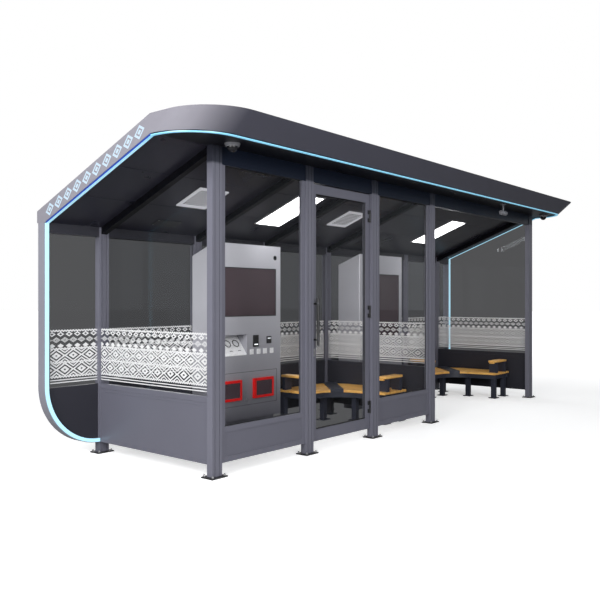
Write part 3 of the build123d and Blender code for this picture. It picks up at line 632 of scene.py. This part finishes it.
def oiled_wood(name, corner, turned=False):
    """Golden slats; the grain runs along each wing of a corner bench."""
    finish = Finish(name)
    x, y, z = finish.axes()
    from_x = corner.x - x
    from_y = corner.y - y
    back_wing = (from_x < from_y) if turned else (from_x > from_y)
    lengthwise = y + (x - y) * back_wing
    crosswise = x + (y - x) * back_wing
    values = {"X": lengthwise * 1.6, "Y": crosswise * 34.0, "Z": z * 34.0}
    drawn_out = finish.node("ShaderNodeCombineXYZ", values=values)
    grain = finish.noise(1.6, 6.0, 0.62, drawn_out)
    fibre = finish.noise(7.0, 4.0, 0.7, drawn_out)
    board = finish.noise(0.9, 1.0, 0.5)
    share = (grain - 0.5) * 1.5 + (fibre - 0.5) * 0.5 + (board - 0.5) * 0.3 + 0.5
    colour = finish.node("ShaderNodeValToRGB", {"stops": WOOD_TONES}, {"Fac": share})
    return finish.close(
        Base_Color=colour,
        Roughness=0.42 + (fibre - 0.5) * 0.2,
        Normal=finish.bump(grain * 0.6 + fibre * 0.4, 0.25, 0.0012),
    )


def small_finish(name, colour, gloss, metal=0.0, patch=60.0):
    """Plain small part: its colour and gloss vary a little from place to place."""
    finish = Finish(name)
    patches = finish.noise(patch, 3.0)
    dust = finish.noise(500, 2.0)
    shade = patches * 0.8 + dust * 0.2
    return finish.close(
        Base_Color=finish.between(shade, toned(colour, 0.75), toned(colour, 1.2)),
        Roughness=gloss + (patches - 0.5) * 0.15,
        Metallic=metal,
        Normal=finish.bump(dust, 0.08, 0.0004),
    )


lamp_panel = lamp("ceiling lamp panel", (1.0, 1.0, 1.0, 1), 7.0)
strip_lamp = lamp("light strip", (0.20, 0.50, 0.68, 1), 0.9, edge=(0.002, 0.030, 0.22, 1))
# painted light: the vent grilles glow faintly, as if lit from below, though they hold no lamp
vent_white_painted_glow = lamp("vent white, lit from below", (0.60, 0.60, 0.64, 1), 0.4)
sign_lamp = lamp("sign lamp", (0.92, 0.96, 1.0, 1), 1.3)
room_corner = Vector((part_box("partition_panel")[0].x, back_y, 0))
open_corner = Vector((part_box("right_wall_panel")[0].x, back_y, 0))
room_wood = oiled_wood("oiled wood, waiting room", room_corner)
open_wood = oiled_wood("oiled wood, open bay", open_corner)
room_arm_wood = oiled_wood("arm rest wood, waiting room", room_corner, turned=True)
open_arm_wood = oiled_wood("arm rest wood, open bay", open_corner, turned=True)
red_enamel = small_finish("red enamel", (0.66, 0.002, 0.002, 1), 0.36)
white_enamel = small_finish("white enamel", (0.82, 0.82, 0.84, 1), 0.38)
pale_plastic = small_finish("pale grey plastic", (0.22, 0.22, 0.24, 1), 0.35)
black_plastic = small_finish("black plastic", (0.010, 0.010, 0.011, 1), 0.45)
rubber = small_finish("black rubber seal", (0.005, 0.005, 0.006, 1), 0.6)
zinc = small_finish("zinc plated steel", (0.42, 0.42, 0.43, 1), 0.34, metal=1.0, patch=180)
dark_steel = small_finish("dark steel", (0.035, 0.036, 0.042, 1), 0.4, metal=0.4)
print("materials so far:", len(bpy.data.materials))

# %% [markdown]
# ## The CAD parts get their finishes
# A CAD node already has the right shape, so it only needs a finish. The table below pairs
# each finish with words from the nodes' names; a later line wins over an earlier one.

# %% Finish every CAD node
FINISHES = [
    (frame_paint, [""]),
    (post_paint, ["front_post"]),
    (panel_paint, ["panel"]),
    # painted shade: inner walls, back panels and back lintels take the darker copy of the panel
    # paint
    (inner_painted_shade_paint, ["partition_panel", "back_lintels", "right_wall_panel", "back_panels"]),
    # painted shade: near-black front lintels, for the shadow under the overhang
    (shaded_lintel_paint, ["front_lintels"]),
    # painted shade: black rafters
    (shaded_rafter_paint, ["rafters"]),
    (plate_paint, ["foot_plates"]),
    (bench_paint, ["bench_frame", "arm_posts"]),
    # painted light: pale end rims
    (painted_light_rim_paint, ["end_rims"]),
    (roof_finish, ["roof_shell"]),
    (ceiling_finish, ["ceiling"]),
    (lamp_panel, ["ceiling_lights"]),
    (white_enamel, ["ceiling_vents"]),
    (strip_lamp, ["light_strip"]),
    (kiosk_finish, ["kiosk"]),
    (screen_finish, ["kiosk_screens"]),
    (red_enamel, ["emergency_boxes"]),
    (back_print, ["back_glass"]),
    (plain_glass, ["bay_glass", "door_glass"]),
    *((side_prints[pane], [pane]) for pane in side_prints),
    (room_wood, ["room_bench_boards"]),
    (open_wood, ["open_bay_bench_boards"]),
    (room_arm_wood, ["room_bench_arm_rests"]),
    (open_arm_wood, ["open_bay_bench_arm_rests"]),
    (black_plastic, ["cover_plates", "cameras", "door_handles", "hinge_halves"]),
]
for name, node in nodes.items():
    finish = [finish for finish, words in FINISHES if any(word in name for word in words)][-1]
    if not node.material_slots:
        node.data.materials.append(finish)
    for place in node.material_slots:
        place.material = finish
print("finished", len(nodes), "CAD nodes")

# %% [markdown]
# ## Anchors
# Four anchors hold each foot plate: a washer, a hexagon nut and the end of a stud. One is
# made and copied to the 48 places of the anchor holes.

# %% Anchor bolts
WASHER_TOP, NUT_TOP, STUD_TOP = 0.0025, 0.0125, 0.0190
HOLE_X, HOLE_Y = 0.065, 0.048  # from the post's middle to the holes


def anchor(place):
    """Washer, hexagon nut and stud end on top of a plate."""
    washer = rod(place, place + Z * WASHER_TOP, 0.0118, 20)
    nut = rod(place + Z * WASHER_TOP, place + Z * NUT_TOP, 0.0104, 6)
    stud = rod(place + Z * NUT_TOP, place + Z * STUD_TOP, 0.006, 14)
    return join([washer, soften(nut, 0.0010, 1), soften(stud, 0.0015, 1)])


plate_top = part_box("foot_plates")[1].z
feet = [(x, front_y + post_depth / 2) for x in posts]
feet += [(x, back_y + post_depth / 2) for x in back_posts]
spots = [
    Vector((x + dx, y + dy, plate_top))
    for x, y in feet
    for dx in (-HOLE_X, HOLE_X)
    for dy in (-HOLE_Y, HOLE_Y)
]
anchors = copies(anchor(spots[0]), [spot - spots[0] for spot in spots[1:]])
dress("anchor_bolts", anchors, zinc, smooth=40)

# %% [markdown]
# ## Seals around the glass
# A black rubber seal holds each pane in its frame. The panes' own boxes give its outline; the
# door's pane has one on both sides, and it swings with the door.

# %% Seals
SEAL_WIDE, SEAL_THICK = 0.007, 0.006


def layer(low, high, side, thick):
    """Start and end of a layer on one face of a wall, counted across the wall."""
    face = low if side < 0 else high
    return sorted((face, face + side * thick))


def seal(pane, side):
    """Rubber frame along a pane's edge, on its street side (-1) or its inner side (1)."""
    low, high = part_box(pane)
    near, far = layer(low.y, high.y, side, SEAL_THICK)
    made = ring((low.x, near, low.z), (high.x, far, high.z), Y, SEAL_WIDE)
    return soften(made, 0.0015, 1)


bay_seals = [seal(f"{bay}_bay_glass", -1) for bay in ("left", "right")]
dress("bay_seals", bay_seals, rubber)
door_seals = [seal("door_glass", side) for side in (-1, 1)]
dress("door_seals", door_seals, rubber, "door")
pane_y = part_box("back_glass")[0].y
back_seals = []
for left, right in back_bays:
    made = ring((left, pane_y - SEAL_THICK, sill_z), (right, pane_y, back_lintel_z), Y, SEAL_WIDE)
    back_seals.append(soften(made, 0.0015, 1))
dress("back_seals", back_seals, rubber)

# %% [markdown]
# ## Panel trims
# The closed panels are pressed steel. A cross wall has a top rail, a shadow gap and a flat
# frame around its field, on both faces. The back wall has the rail alone, and the kick
# panels under the front panes have the frame alone.

# %% Wall and kick panel trims
RAIL_TALL, RAIL_GAP = 0.045, 0.007
TRIM_THICK, KICK_THICK = 0.003, 0.004
FIELD_WIDE, KICK_WIDE = 0.022, 0.009


def wall_trim(wall, side):
    """Top rail and field frame on one face of a cross wall."""
    low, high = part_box(wall)
    near, far = layer(low.x, high.x, side, TRIM_THICK)
    rail = block((near, low.y, high.z - RAIL_TALL), (far, high.y, high.z))
    field_top = high.z - (RAIL_TALL + RAIL_GAP)
    field = ring((near, low.y, low.z), (far, high.y, field_top), X, FIELD_WIDE)
    return join([soften(rail, 0.0012), soften(field, 0.0010, 1)])


outer = [wall_trim("left_wall_panel", -1)]
dress("left_wall_outer_trim", outer, panel_paint)
inner_trims = [
    wall_trim("left_wall_panel", 1),
    wall_trim("partition_panel", -1),
    wall_trim("partition_panel", 1),
    wall_trim("right_wall_panel", -1),
]
# the inner faces take the darker paint, as painted shade
dress("inner_wall_trims", inner_trims, inner_painted_shade_paint)
outer = [wall_trim("right_wall_panel", 1)]
dress("right_wall_outer_trim", outer, panel_paint)

panel_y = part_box("back_panels")[0].y
back_trims = []
for left, right in back_bays:
    rail = block((left, panel_y - TRIM_THICK, sill_z - RAIL_TALL), (right, panel_y, sill_z))
    back_trims.append(soften(rail, 0.0012))
# the back wall's rails take the darker paint, as painted shade
dress("back_wall_trims", back_trims, inner_painted_shade_paint)

kick_trims = []
for bay in ("left", "right"):
    low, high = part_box(f"{bay}_bay_kick_panel")
    for side in (-1, 1):
        near, far = layer(low.y, high.y, side, KICK_THICK)
        bead = ring((low.x, near, low.z), (high.x, far, high.z), Y, KICK_WIDE)
        kick_trims.append(soften(bead, 0.0014))
dress("kick_trims", kick_trims, panel_paint)

# %% [markdown]
# ## Ceiling fittings
# They are made flat, under the origin, and then laid against the sloping boards. The two
# lamps get a white rim. Each vent is a frame around a grille: a grid whose squares are inset
# and then removed, given a thickness, in front of a black plate.

# %% Lamp rims, vents and cover plate screws
fitting_y = front_y + 0.805
cover_y = front_y + 1.313
middles = [(left + right) / 2 for left, right in zip(posts[:-1], posts[1:])]
lamp_places = (middles[1] + 0.122, middles[3] + 0.162)
vent_places = (middles[0], middles[2] + 0.028)
cover_places = (middles[0], middles[2], middles[3] - 0.911)


def at_ceiling(x, y):
    """Point on the ceiling above a place."""
    return Vector((x, y, ceiling_z(y)))


def hung(half_x, half_y, thick):
    """The two corners of a flat fitting that hangs under the origin."""
    return (-half_x, -half_y, -thick), (half_x, half_y, 0)


def vent_grille():
    """White frame around a grille with square holes."""
    outer = soften(ring(*hung(0.176, 0.176, 0.014), Z, 0.036), 0.003)
    add = bpy.ops.mesh.primitive_grid_add
    grille = start(add, x_subdivisions=9, y_subdivisions=9, size=0.282, location=(0, 0, -0.009))
    edit(grille)
    bpy.ops.mesh.select_all(action="SELECT")
    bpy.ops.mesh.inset(thickness=0.0034, use_individual=True)
    bpy.ops.mesh.delete(type="FACE")
    bpy.ops.object.mode_set(mode="OBJECT")
    thicken = grille.modifiers.new("sheet", "SOLIDIFY")
    thicken.thickness = 0.002
    bpy.ops.object.modifier_apply(modifier=thicken.name)
    return join([outer, grille])


rims = []
for x in lamp_places:
    rim = soften(ring(*hung(0.1945, 0.347, 0.011), Z, 0.012), 0.003)
    rims.append(lean(rim, at_ceiling(x, fitting_y)))
dress("lamp_rims", rims, white_enamel)

# the grilles carry a faint painted glow
vents = [lean(vent_grille(), at_ceiling(x, fitting_y)) for x in vent_places]
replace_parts(dress("vent_grilles", vents, vent_white_painted_glow), "ceiling_vents")
backs = []
for x in vent_places:
    back = soften(block(*hung(0.142, 0.142, 0.003)), 0.001, 1)
    backs.append(lean(back, at_ceiling(x, fitting_y)))
dress("vent_backs", backs, black_plastic)

screws = []
for x in cover_places:
    for dx in (-0.132, 0.132):
        for dy in (-0.047, 0.047):
            head = soften(rod((0, 0, -0.0065), (0, 0, -0.004), 0.005, 14), 0.001, 1)
            shift = Vector((dx, dy * math.cos(pitch), -dy * math.sin(pitch)))
            screws.append(lean(head, at_ceiling(x, cover_y) + shift))
dress("cover_screws", screws, zinc, smooth=40)

# %% [markdown]
# ## Cameras
# Two round cameras hang under the overhang: a stepped pale base and a black half ball. A
# third one, on a short arm over the open bay, has a joint, a tube with a hood, and a lens.

# %% Cameras
BASE_STEPS = ((0.062, 0.0, 0.012), (0.055, 0.012, 0.026))  # radius; top, bottom below the roof


def half_ball(middle, radius):
    """Lower half of a sphere."""
    add = bpy.ops.mesh.primitive_uv_sphere_add
    ball = start(add, segments=32, ring_count=16, radius=radius, location=middle)
    edit(ball)
    pick(ball, "FACE", lambda place, facing: place.z > middle[2])
    bpy.ops.mesh.delete(type="FACE")
    bpy.ops.object.mode_set(mode="OBJECT")
    return ball


bases, balls = [], []
y = front_y - 0.140
for x in (posts[0] + 0.028, posts[4] + 0.108):
    for radius, top, bottom in BASE_STEPS:
        step = rod((x, y, soffit_z - bottom), (x, y, soffit_z - top), radius, 40)
        bases.append(soften(step, 0.002))
    balls.append(half_ball((x, y, soffit_z - BASE_STEPS[-1][2]), 0.044))
dress("camera_bases", bases, pale_plastic, smooth=35)
dress("camera_balls", balls, lens_finish, smooth=60)

arm_top = Vector((1.800, front_y - 0.211, soffit_z))
collar = arm_top - Z * 0.010
joint = arm_top - Z * 0.110
arm = [
    soften(rod(collar, arm_top, 0.038, 32), 0.002),
    soften(rod(joint, collar, 0.012, 20), 0.002),
    soften(rod(joint - Y * 0.018, joint + Y * 0.018, 0.020, 24), 0.003),
    soften(rod(joint - X * 0.070, joint + X * 0.062, 0.027, 32), 0.004),
    soften(rod(joint - X * 0.020, joint + X * 0.073, 0.030, 32), 0.002),
]
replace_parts(dress("arm_camera", arm, pale_plastic, smooth=35), "cameras")
arm_lens = soften(rod(joint + X * 0.073, joint + X * 0.075, 0.024, 32), 0.001)
dress("arm_camera_lens", [arm_lens], lens_finish, smooth=35)

# %% [markdown]
# ## Kiosk fittings
# The left kiosk works as a machine: a camera lens at its top, a card reader, a second slot,
# four buttons, a white tray with three dark rings, and a service door around the two red
# boxes. The rings are plain, with nothing written on them.

# %% Kiosk front
kiosk_low, kiosk_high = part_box("left_kiosk")
kiosk_x = (kiosk_low.x + kiosk_high.x) / 2
face_y = kiosk_low.y


def front_plate(dx, z, wide, tall, thick, rounding=0.003, back=0.0):
    """Plate on the kiosk's face; back is how far it starts in front of that face."""
    low = (kiosk_x + dx - wide / 2, face_y - back - thick, z - tall / 2)
    high = (kiosk_x + dx + wide / 2, face_y - back, z + tall / 2)
    return soften(block(low, high), rounding)


def front_disc(dx, z, radius, thick, back=0.0):
    """Disc on the kiosk's face."""
    x, y = kiosk_x + dx, face_y - back
    return soften(rod((x, y, z), (x, y - thick, z), radius, 32), thick * 0.25)


buttons = [front_plate(dx, 0.851, 0.057, 0.056, 0.006) for dx in (0.032, 0.138, 0.238, 0.344)]
dress("kiosk_buttons", buttons, white_enamel)
readers = [
    front_plate(0.092, 0.965, 0.084, 0.125, 0.010, 0.004),
    front_plate(0.300, 0.969, 0.074, 0.078, 0.008, 0.003),
    front_plate(0.092, 0.985, 0.060, 0.050, 0.003, 0.001, 0.010),
]
dress("card_readers", readers, black_plastic)
glows = [
    front_plate(0.092, 0.928, 0.050, 0.010, 0.002, 0.0008, 0.010),
    front_plate(0.300, 0.986, 0.050, 0.006, 0.002, 0.0008, 0.008),
]
dress("reader_lights", glows, sign_lamp)
lens_ring = front_disc(0.400, 1.861, 0.026, 0.005)
dress("kiosk_lens_ring", [lens_ring], dark_steel, smooth=35)
lens = front_disc(0.400, 1.861, 0.019, 0.002, 0.005)
dress("kiosk_lens", [lens], lens_finish, smooth=35)

low = (kiosk_x - 0.429, face_y - 0.0012, 0.295)
high = (kiosk_x + 0.429, face_y, 0.646)
dress("service_door_line", [ring(low, high, Y, 0.0035)], rubber)
latch = [
    front_disc(-0.048, 0.352, 0.013, 0.005),
    front_plate(-0.048, 0.352, 0.004, 0.018, 0.002, 0.0006, 0.005),
]
dress("service_door_latch", latch, zinc, smooth=35)

# %% [markdown]
# The tray is a sloping white plate across its recess: a flat plate whose back edge is
# lifted. Three dark rings and three short bars lie on it. The red boxes get a raised red
# frame, a black window and a small tab on top.

# %% Tray, rings and red boxes
TRAY_WIDE, TRAY_DEEP, TRAY_LIFT, TRAY_THICK = 0.400, 0.150, 0.190, 0.012
BOX_PROUD = 0.030  # how far the red boxes stand out from the kiosk

tray_low = Vector((kiosk_low.x + 0.060, face_y, 0.820))
back_edge = face_y + TRAY_DEEP
plate = block(tray_low, (tray_low.x + TRAY_WIDE, back_edge, tray_low.z + TRAY_THICK))
edit(plate)
pick(plate, "EDGE", lambda place, along: place.y > back_edge - 0.001 and abs(along.x) > 0.9)
bpy.ops.transform.translate(value=(0, 0, TRAY_LIFT))
dress("tray_plate", [soften(plate, 0.002, 1)], white_enamel)
tilt = Vector((0, TRAY_DEEP, TRAY_LIFT)).normalized()
outward = Vector((0, -tilt.z, tilt.y))
marks = []
for share in (0.2, 0.5, 0.8):
    x, z = tray_low.x + TRAY_WIDE * share, tray_low.z + TRAY_THICK
    circle = start(
        bpy.ops.mesh.primitive_torus_add,
        major_radius=0.040,
        minor_radius=0.005,
        major_segments=40,
        minor_segments=10,
        location=(x, face_y + 0.088, z + 0.1115),
        rotation=outward.to_track_quat("Z", "Y").to_euler(),
    )
    marks.append(circle)
    bar = Vector((x, face_y + 0.030, z + 0.038)) + outward * 0.001
    marks.append(soften(rod(bar - X * 0.022, bar + X * 0.022, 0.003, 12), 0.001, 1))
dress("tray_rings", marks, black_plastic, smooth=50)

frames, windows = [], []
for dx in (-0.292, 0.197):
    low = (kiosk_x + dx - 0.150, face_y - BOX_PROUD - 0.004, 0.360)
    high = (kiosk_x + dx + 0.150, face_y - BOX_PROUD, 0.570)
    frames.append(soften(ring(low, high, Y, 0.027), 0.0015))
    frames.append(front_plate(dx, 0.562, 0.050, 0.012, 0.006, 0.002, BOX_PROUD + 0.004))
    windows.append(front_plate(dx, 0.465, 0.246, 0.156, 0.0015, 0.0005, BOX_PROUD))
dress("red_box_frames", frames, red_enamel)
dress("red_box_windows", windows, screen_finish)

# %% [markdown]
# A thin black bezel runs round each screen. Both are equally wide; the right one is taller.

# %% Screen bezels
SCREEN_WIDE = 0.820
bezels = []
screen_low, screen_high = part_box("kiosk_screens")
for x, tall in ((screen_low.x, 0.513), (screen_high.x - SCREEN_WIDE, 0.820)):
    low = (x, screen_low.y - 0.003, screen_high.z - tall)
    high = (x + SCREEN_WIDE, screen_low.y, screen_high.z)
    bezels.append(soften(ring(low, high, Y, 0.010), 0.001))
dress("screen_bezels", bezels, black_plastic)

# %% [markdown]
# ## Benches
# The wooden arm rests have a rounded front and a slimmer piece of wood underneath. They
# stand for the plain blocks of the CAD model. Three screws hold each corner console.

# %% Arm rests, console screws
REST_BOTTOM, REST_TOP = 0.507, 0.535
# The way an arm rest points, and how far its two corners are from the walls' corner.
ARM_RESTS = ((Y, (1.000, 0.462), (0.880, 0.092)), (X, (0.462, 1.175), (0.092, 1.055)))


def arm_rest(corner, along, outer, inner):
    """Board with a rounded front end, and the slimmer piece under it."""
    low = Vector((corner.x - outer[0], corner.y - outer[1], REST_BOTTOM))
    high = Vector((corner.x - inner[0], corner.y - inner[1], REST_TOP))
    board = block(low, high)
    edit(board)
    front = low.dot(along)
    pick(
        board,
        "EDGE",
        lambda place, run: abs(run.z) > 0.9 and abs(place.dot(along) - front) < 0.001,
    )
    bpy.ops.mesh.bevel(offset=0.030, segments=6, affect="EDGES")
    bpy.ops.object.mode_set(mode="OBJECT")
    inset = (Vector((1, 1, 0)) - along) * 0.026
    nose_low = Vector((low.x, low.y, 0.491)) + inset
    nose_high = high - (high - low).dot(along) * along + along * 0.028
    nose_high.z = low.z
    nose = block(nose_low, nose_high - inset)
    return [soften(board, 0.008, 3), soften(nose, 0.004)]


benches = (("room", room_corner, room_arm_wood), ("open_bay", open_corner, open_arm_wood))
for bench, corner, wood in benches:
    rests = [piece for rest in ARM_RESTS for piece in arm_rest(corner, *rest)]
    rests = dress(f"{bench}_arm_rest_boards", rests, wood, smooth=35)
    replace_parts(rests, f"{bench}_bench_arm_rests")

screws = []
for corner in (room_corner, open_corner):
    for reach in (0.070, 0.230, 0.420):
        place = corner + Vector((-0.022 - reach, -0.022 - reach, 0.374))
        screws.append(soften(rod(place, place + Z * 0.002, 0.006, 14), 0.0008, 1))
dress("console_screws", screws, zinc, smooth=40)

# %% [markdown]
# ## Door furniture
# The bars of the door handles get end caps and collars, and a lock cylinder sits below them.
# Pins show at the ends of the hinges. All of it swings with the door.

# %% Handle caps, lock and hinge pins
BAR_RADIUS, HINGE_RADIUS = 0.013, 0.008
HINGE_INSET, HINGE_HALF = 0.220, 0.060

bar_low, bar_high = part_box("door_handles")
leaf_low, leaf_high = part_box("door_leaf")
hinge_low, hinge_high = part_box("door_hinge_halves")
bar_x = (bar_low.x + bar_high.x) / 2
caps = []
for y in (bar_low.y + BAR_RADIUS, bar_high.y - BAR_RADIUS):
    for z in (bar_low.z, bar_high.z):
        cap = rod((bar_x, y, z - 0.004), (bar_x, y, z + 0.004), 0.0145, 28)
        caps.append(soften(cap, 0.002))
    for z in (bar_low.z + 0.050, bar_high.z - 0.050):
        collar = rod((bar_x, y, z - 0.014), (bar_x, y, z + 0.014), 0.0142, 28)
        caps.append(soften(collar, 0.001))
dress("handle_caps", caps, dark_steel, "door", smooth=35)

locks = []
for side in (-1, 1):
    near, far = layer(leaf_low.y, leaf_high.y, side, 0.003)
    plate = block((bar_x - 0.016, near, 0.880), (bar_x + 0.016, far, 0.950))
    foot = Vector((bar_x, leaf_low.y if side < 0 else leaf_high.y, 0.925))
    locks.append(soften(plate, 0.001))
    locks.append(soften(rod(foot, foot + Y * side * 0.008, 0.009, 24), 0.001))
dress("door_lock", locks, zinc, "door", smooth=35)

leaf_middle = (leaf_low.z + leaf_high.z) / 2
pins = []
for middle in (leaf_low.z + HINGE_INSET, leaf_middle, leaf_high.z - HINGE_INSET):
    for side in (-1, 1):
        z = middle + side * HINGE_HALF
        foot = Vector((hinge_high.x - HINGE_RADIUS, hinge_low.y + HINGE_RADIUS, z))
        pins.append(soften(rod(foot, foot + Z * side * 0.005, 0.005, 20), 0.0015))
dress("hinge_pins", pins, dark_steel, "door", smooth=35)

# %% [markdown]
# ## Studio
# The floor and the background are white. Seen through a pane, the same background is dark
# grey, as it is behind tinted glass, while the things inside the shelter keep their own
# colours. The floor and the sky do that: they turn dark for a ray from the camera that has
# passed through glass. The floor also glows for the camera, more with distance, and is
# darker for other rays, so that little light comes back up under the roof. The sky is
# white for the camera, half as bright in mirrors and dim as a light.

# %% Floor and sky
BEHIND_ONE_PANE = (0.084, 0.085, 0.088, 1)
BEHIND_MORE = (0.056, 0.057, 0.060, 1)
MIRRORED_SHARE = 0.30
GLOW_START, GLOW_LENGTH = 4.5, 7.0  # metres from the middle of the shelter


def grey(value):
    """An even grey as a colour."""
    return (value, value, value, 1)


def through_glass(finish):
    """1 for a camera ray that has already passed a pane, and the grey that it then sees."""
    seen, depth = finish.ray("Is Camera Ray", "Transparent Depth")
    dim = finish.between(depth > 2.5, BEHIND_ONE_PANE, BEHIND_MORE)
    return seen * (depth > 0.5), dim


floor = start(bpy.ops.mesh.primitive_plane_add, size=160, location=(0, 0, 0))
floor.name = floor.data.name = "studio_floor"

ground = Finish("studio floor")
grain = ground.noise(3.0, 2.0)
(seen,) = ground.ray("Is Camera Ray")
distance = ground.node(
    "ShaderNodeVectorMath", {"operation": "LENGTH"}, (ground.place(),), output=1
)
glow = ground.between(((distance - GLOW_START) / GLOW_LENGTH).clamped(), grey(0.50), grey(1.0))
dark_grain = ground.between(seen, grey(0.34), grey(0.80))
light_grain = ground.between(seen, grey(0.36), grey(0.84))
lit = ground.node(
    "ShaderNodeBsdfPrincipled",
    values={
        "Base Color": ground.between(grain, dark_grain, light_grain),
        "Roughness": 0.8,
        "Specular IOR Level": 0.1,
        "Emission Color": ground.between(seen, (0, 0, 0, 1), glow),
        "Emission Strength": 1.0,
    },
)
passed, dim = through_glass(ground)
dim = ground.node("ShaderNodeEmission", values={"Color": dim})
mixed = ground.node("ShaderNodeMixShader", values=(passed, lit, dim))
ground.node("ShaderNodeOutputMaterial", values={"Surface": mixed})
floor.data.materials.append(ground.owner)

sky = Finish("studio sky", bpy.data.worlds)
bpy.context.scene.world = sky.owner


def sky_light(colour, strength=1.0):
    """Even light from every side."""
    return sky.node("ShaderNodeBackground", values={"Color": colour, "Strength": strength})


mirrored, direct = sky.ray("Is Glossy Ray", "Is Camera Ray")
plain = sky_light((0.95, 0.97, 1.0, 1), 0.30)
white = sky_light((1, 1, 1, 1))
passed, dim = through_glass(sky)
share = direct.larger(mirrored * MIRRORED_SHARE)
shown = sky.node("ShaderNodeMixShader", values=(share, plain, white))
shown = sky.node("ShaderNodeMixShader", values=(passed, shown, sky_light(dim)))
sky.node("ShaderNodeOutputWorld", values={"Surface": shown})
print("floor and sky ready")

# %% [markdown]
# Three large soft lamps light the shelter: the strongest from the left end, one from the
# street, and a weak one from behind, so that the far sides aren't dead.


# %% Lamps
def studio_lamp(name, place, target, size, power):
    """Square area lamp that faces a target."""
    lamp_data = bpy.data.lights.new(name, "AREA")
    lamp_data.shape = "SQUARE"
    lamp_data.size = size
    lamp_data.energy = power
    lamp_object = bpy.data.objects.new(name, lamp_data)
    lamp_object.location = place
    aim = Vector(target) - Vector(place)
    lamp_object.rotation_euler = aim.to_track_quat("-Z", "Y").to_euler()
    link(lamp_object)


studio_lamp("left lamp", (-9.0, -1.5, 3.6), (-3.0, 0.0, 1.2), 4.0, 520)
studio_lamp("street lamp", (-5.0, -8.0, 3.2), (-2.0, 0.0, 1.1), 4.0, 430)
studio_lamp("back lamp", (4.5, 8.0, 5.0), (1.0, 0.5, 1.2), 5.0, 260)
print("lamps:", len(bpy.data.lights))

# %% [markdown]
# ## Camera
# The camera stands in front of the left end, a little below head height, and looks level,
# with the front running away to the right.

# %% Camera
EYE_HEIGHT, LEFT_OF_ROOF, BEFORE_POSTS = 1.400, 3.3495, 4.1719
LENS, SENSOR, TURN = 43.54, 36.0, -49.95  # millimetres, millimetres, degrees

camera_data = bpy.data.cameras.new("camera")
camera_data.sensor_width = SENSOR
camera_data.lens = LENS
camera_data.clip_end = 400
camera = bpy.data.objects.new("camera", camera_data)
camera.location = (-roof_side - LEFT_OF_ROOF, front_y - BEFORE_POSTS, EYE_HEIGHT)
camera.rotation_euler = (math.radians(90), 0, math.radians(TURN))
link(camera)
bpy.context.scene.camera = camera
bpy.context.scene.view_settings.view_transform = "Standard"
print("camera at", [round(v, 2) for v in camera.location])
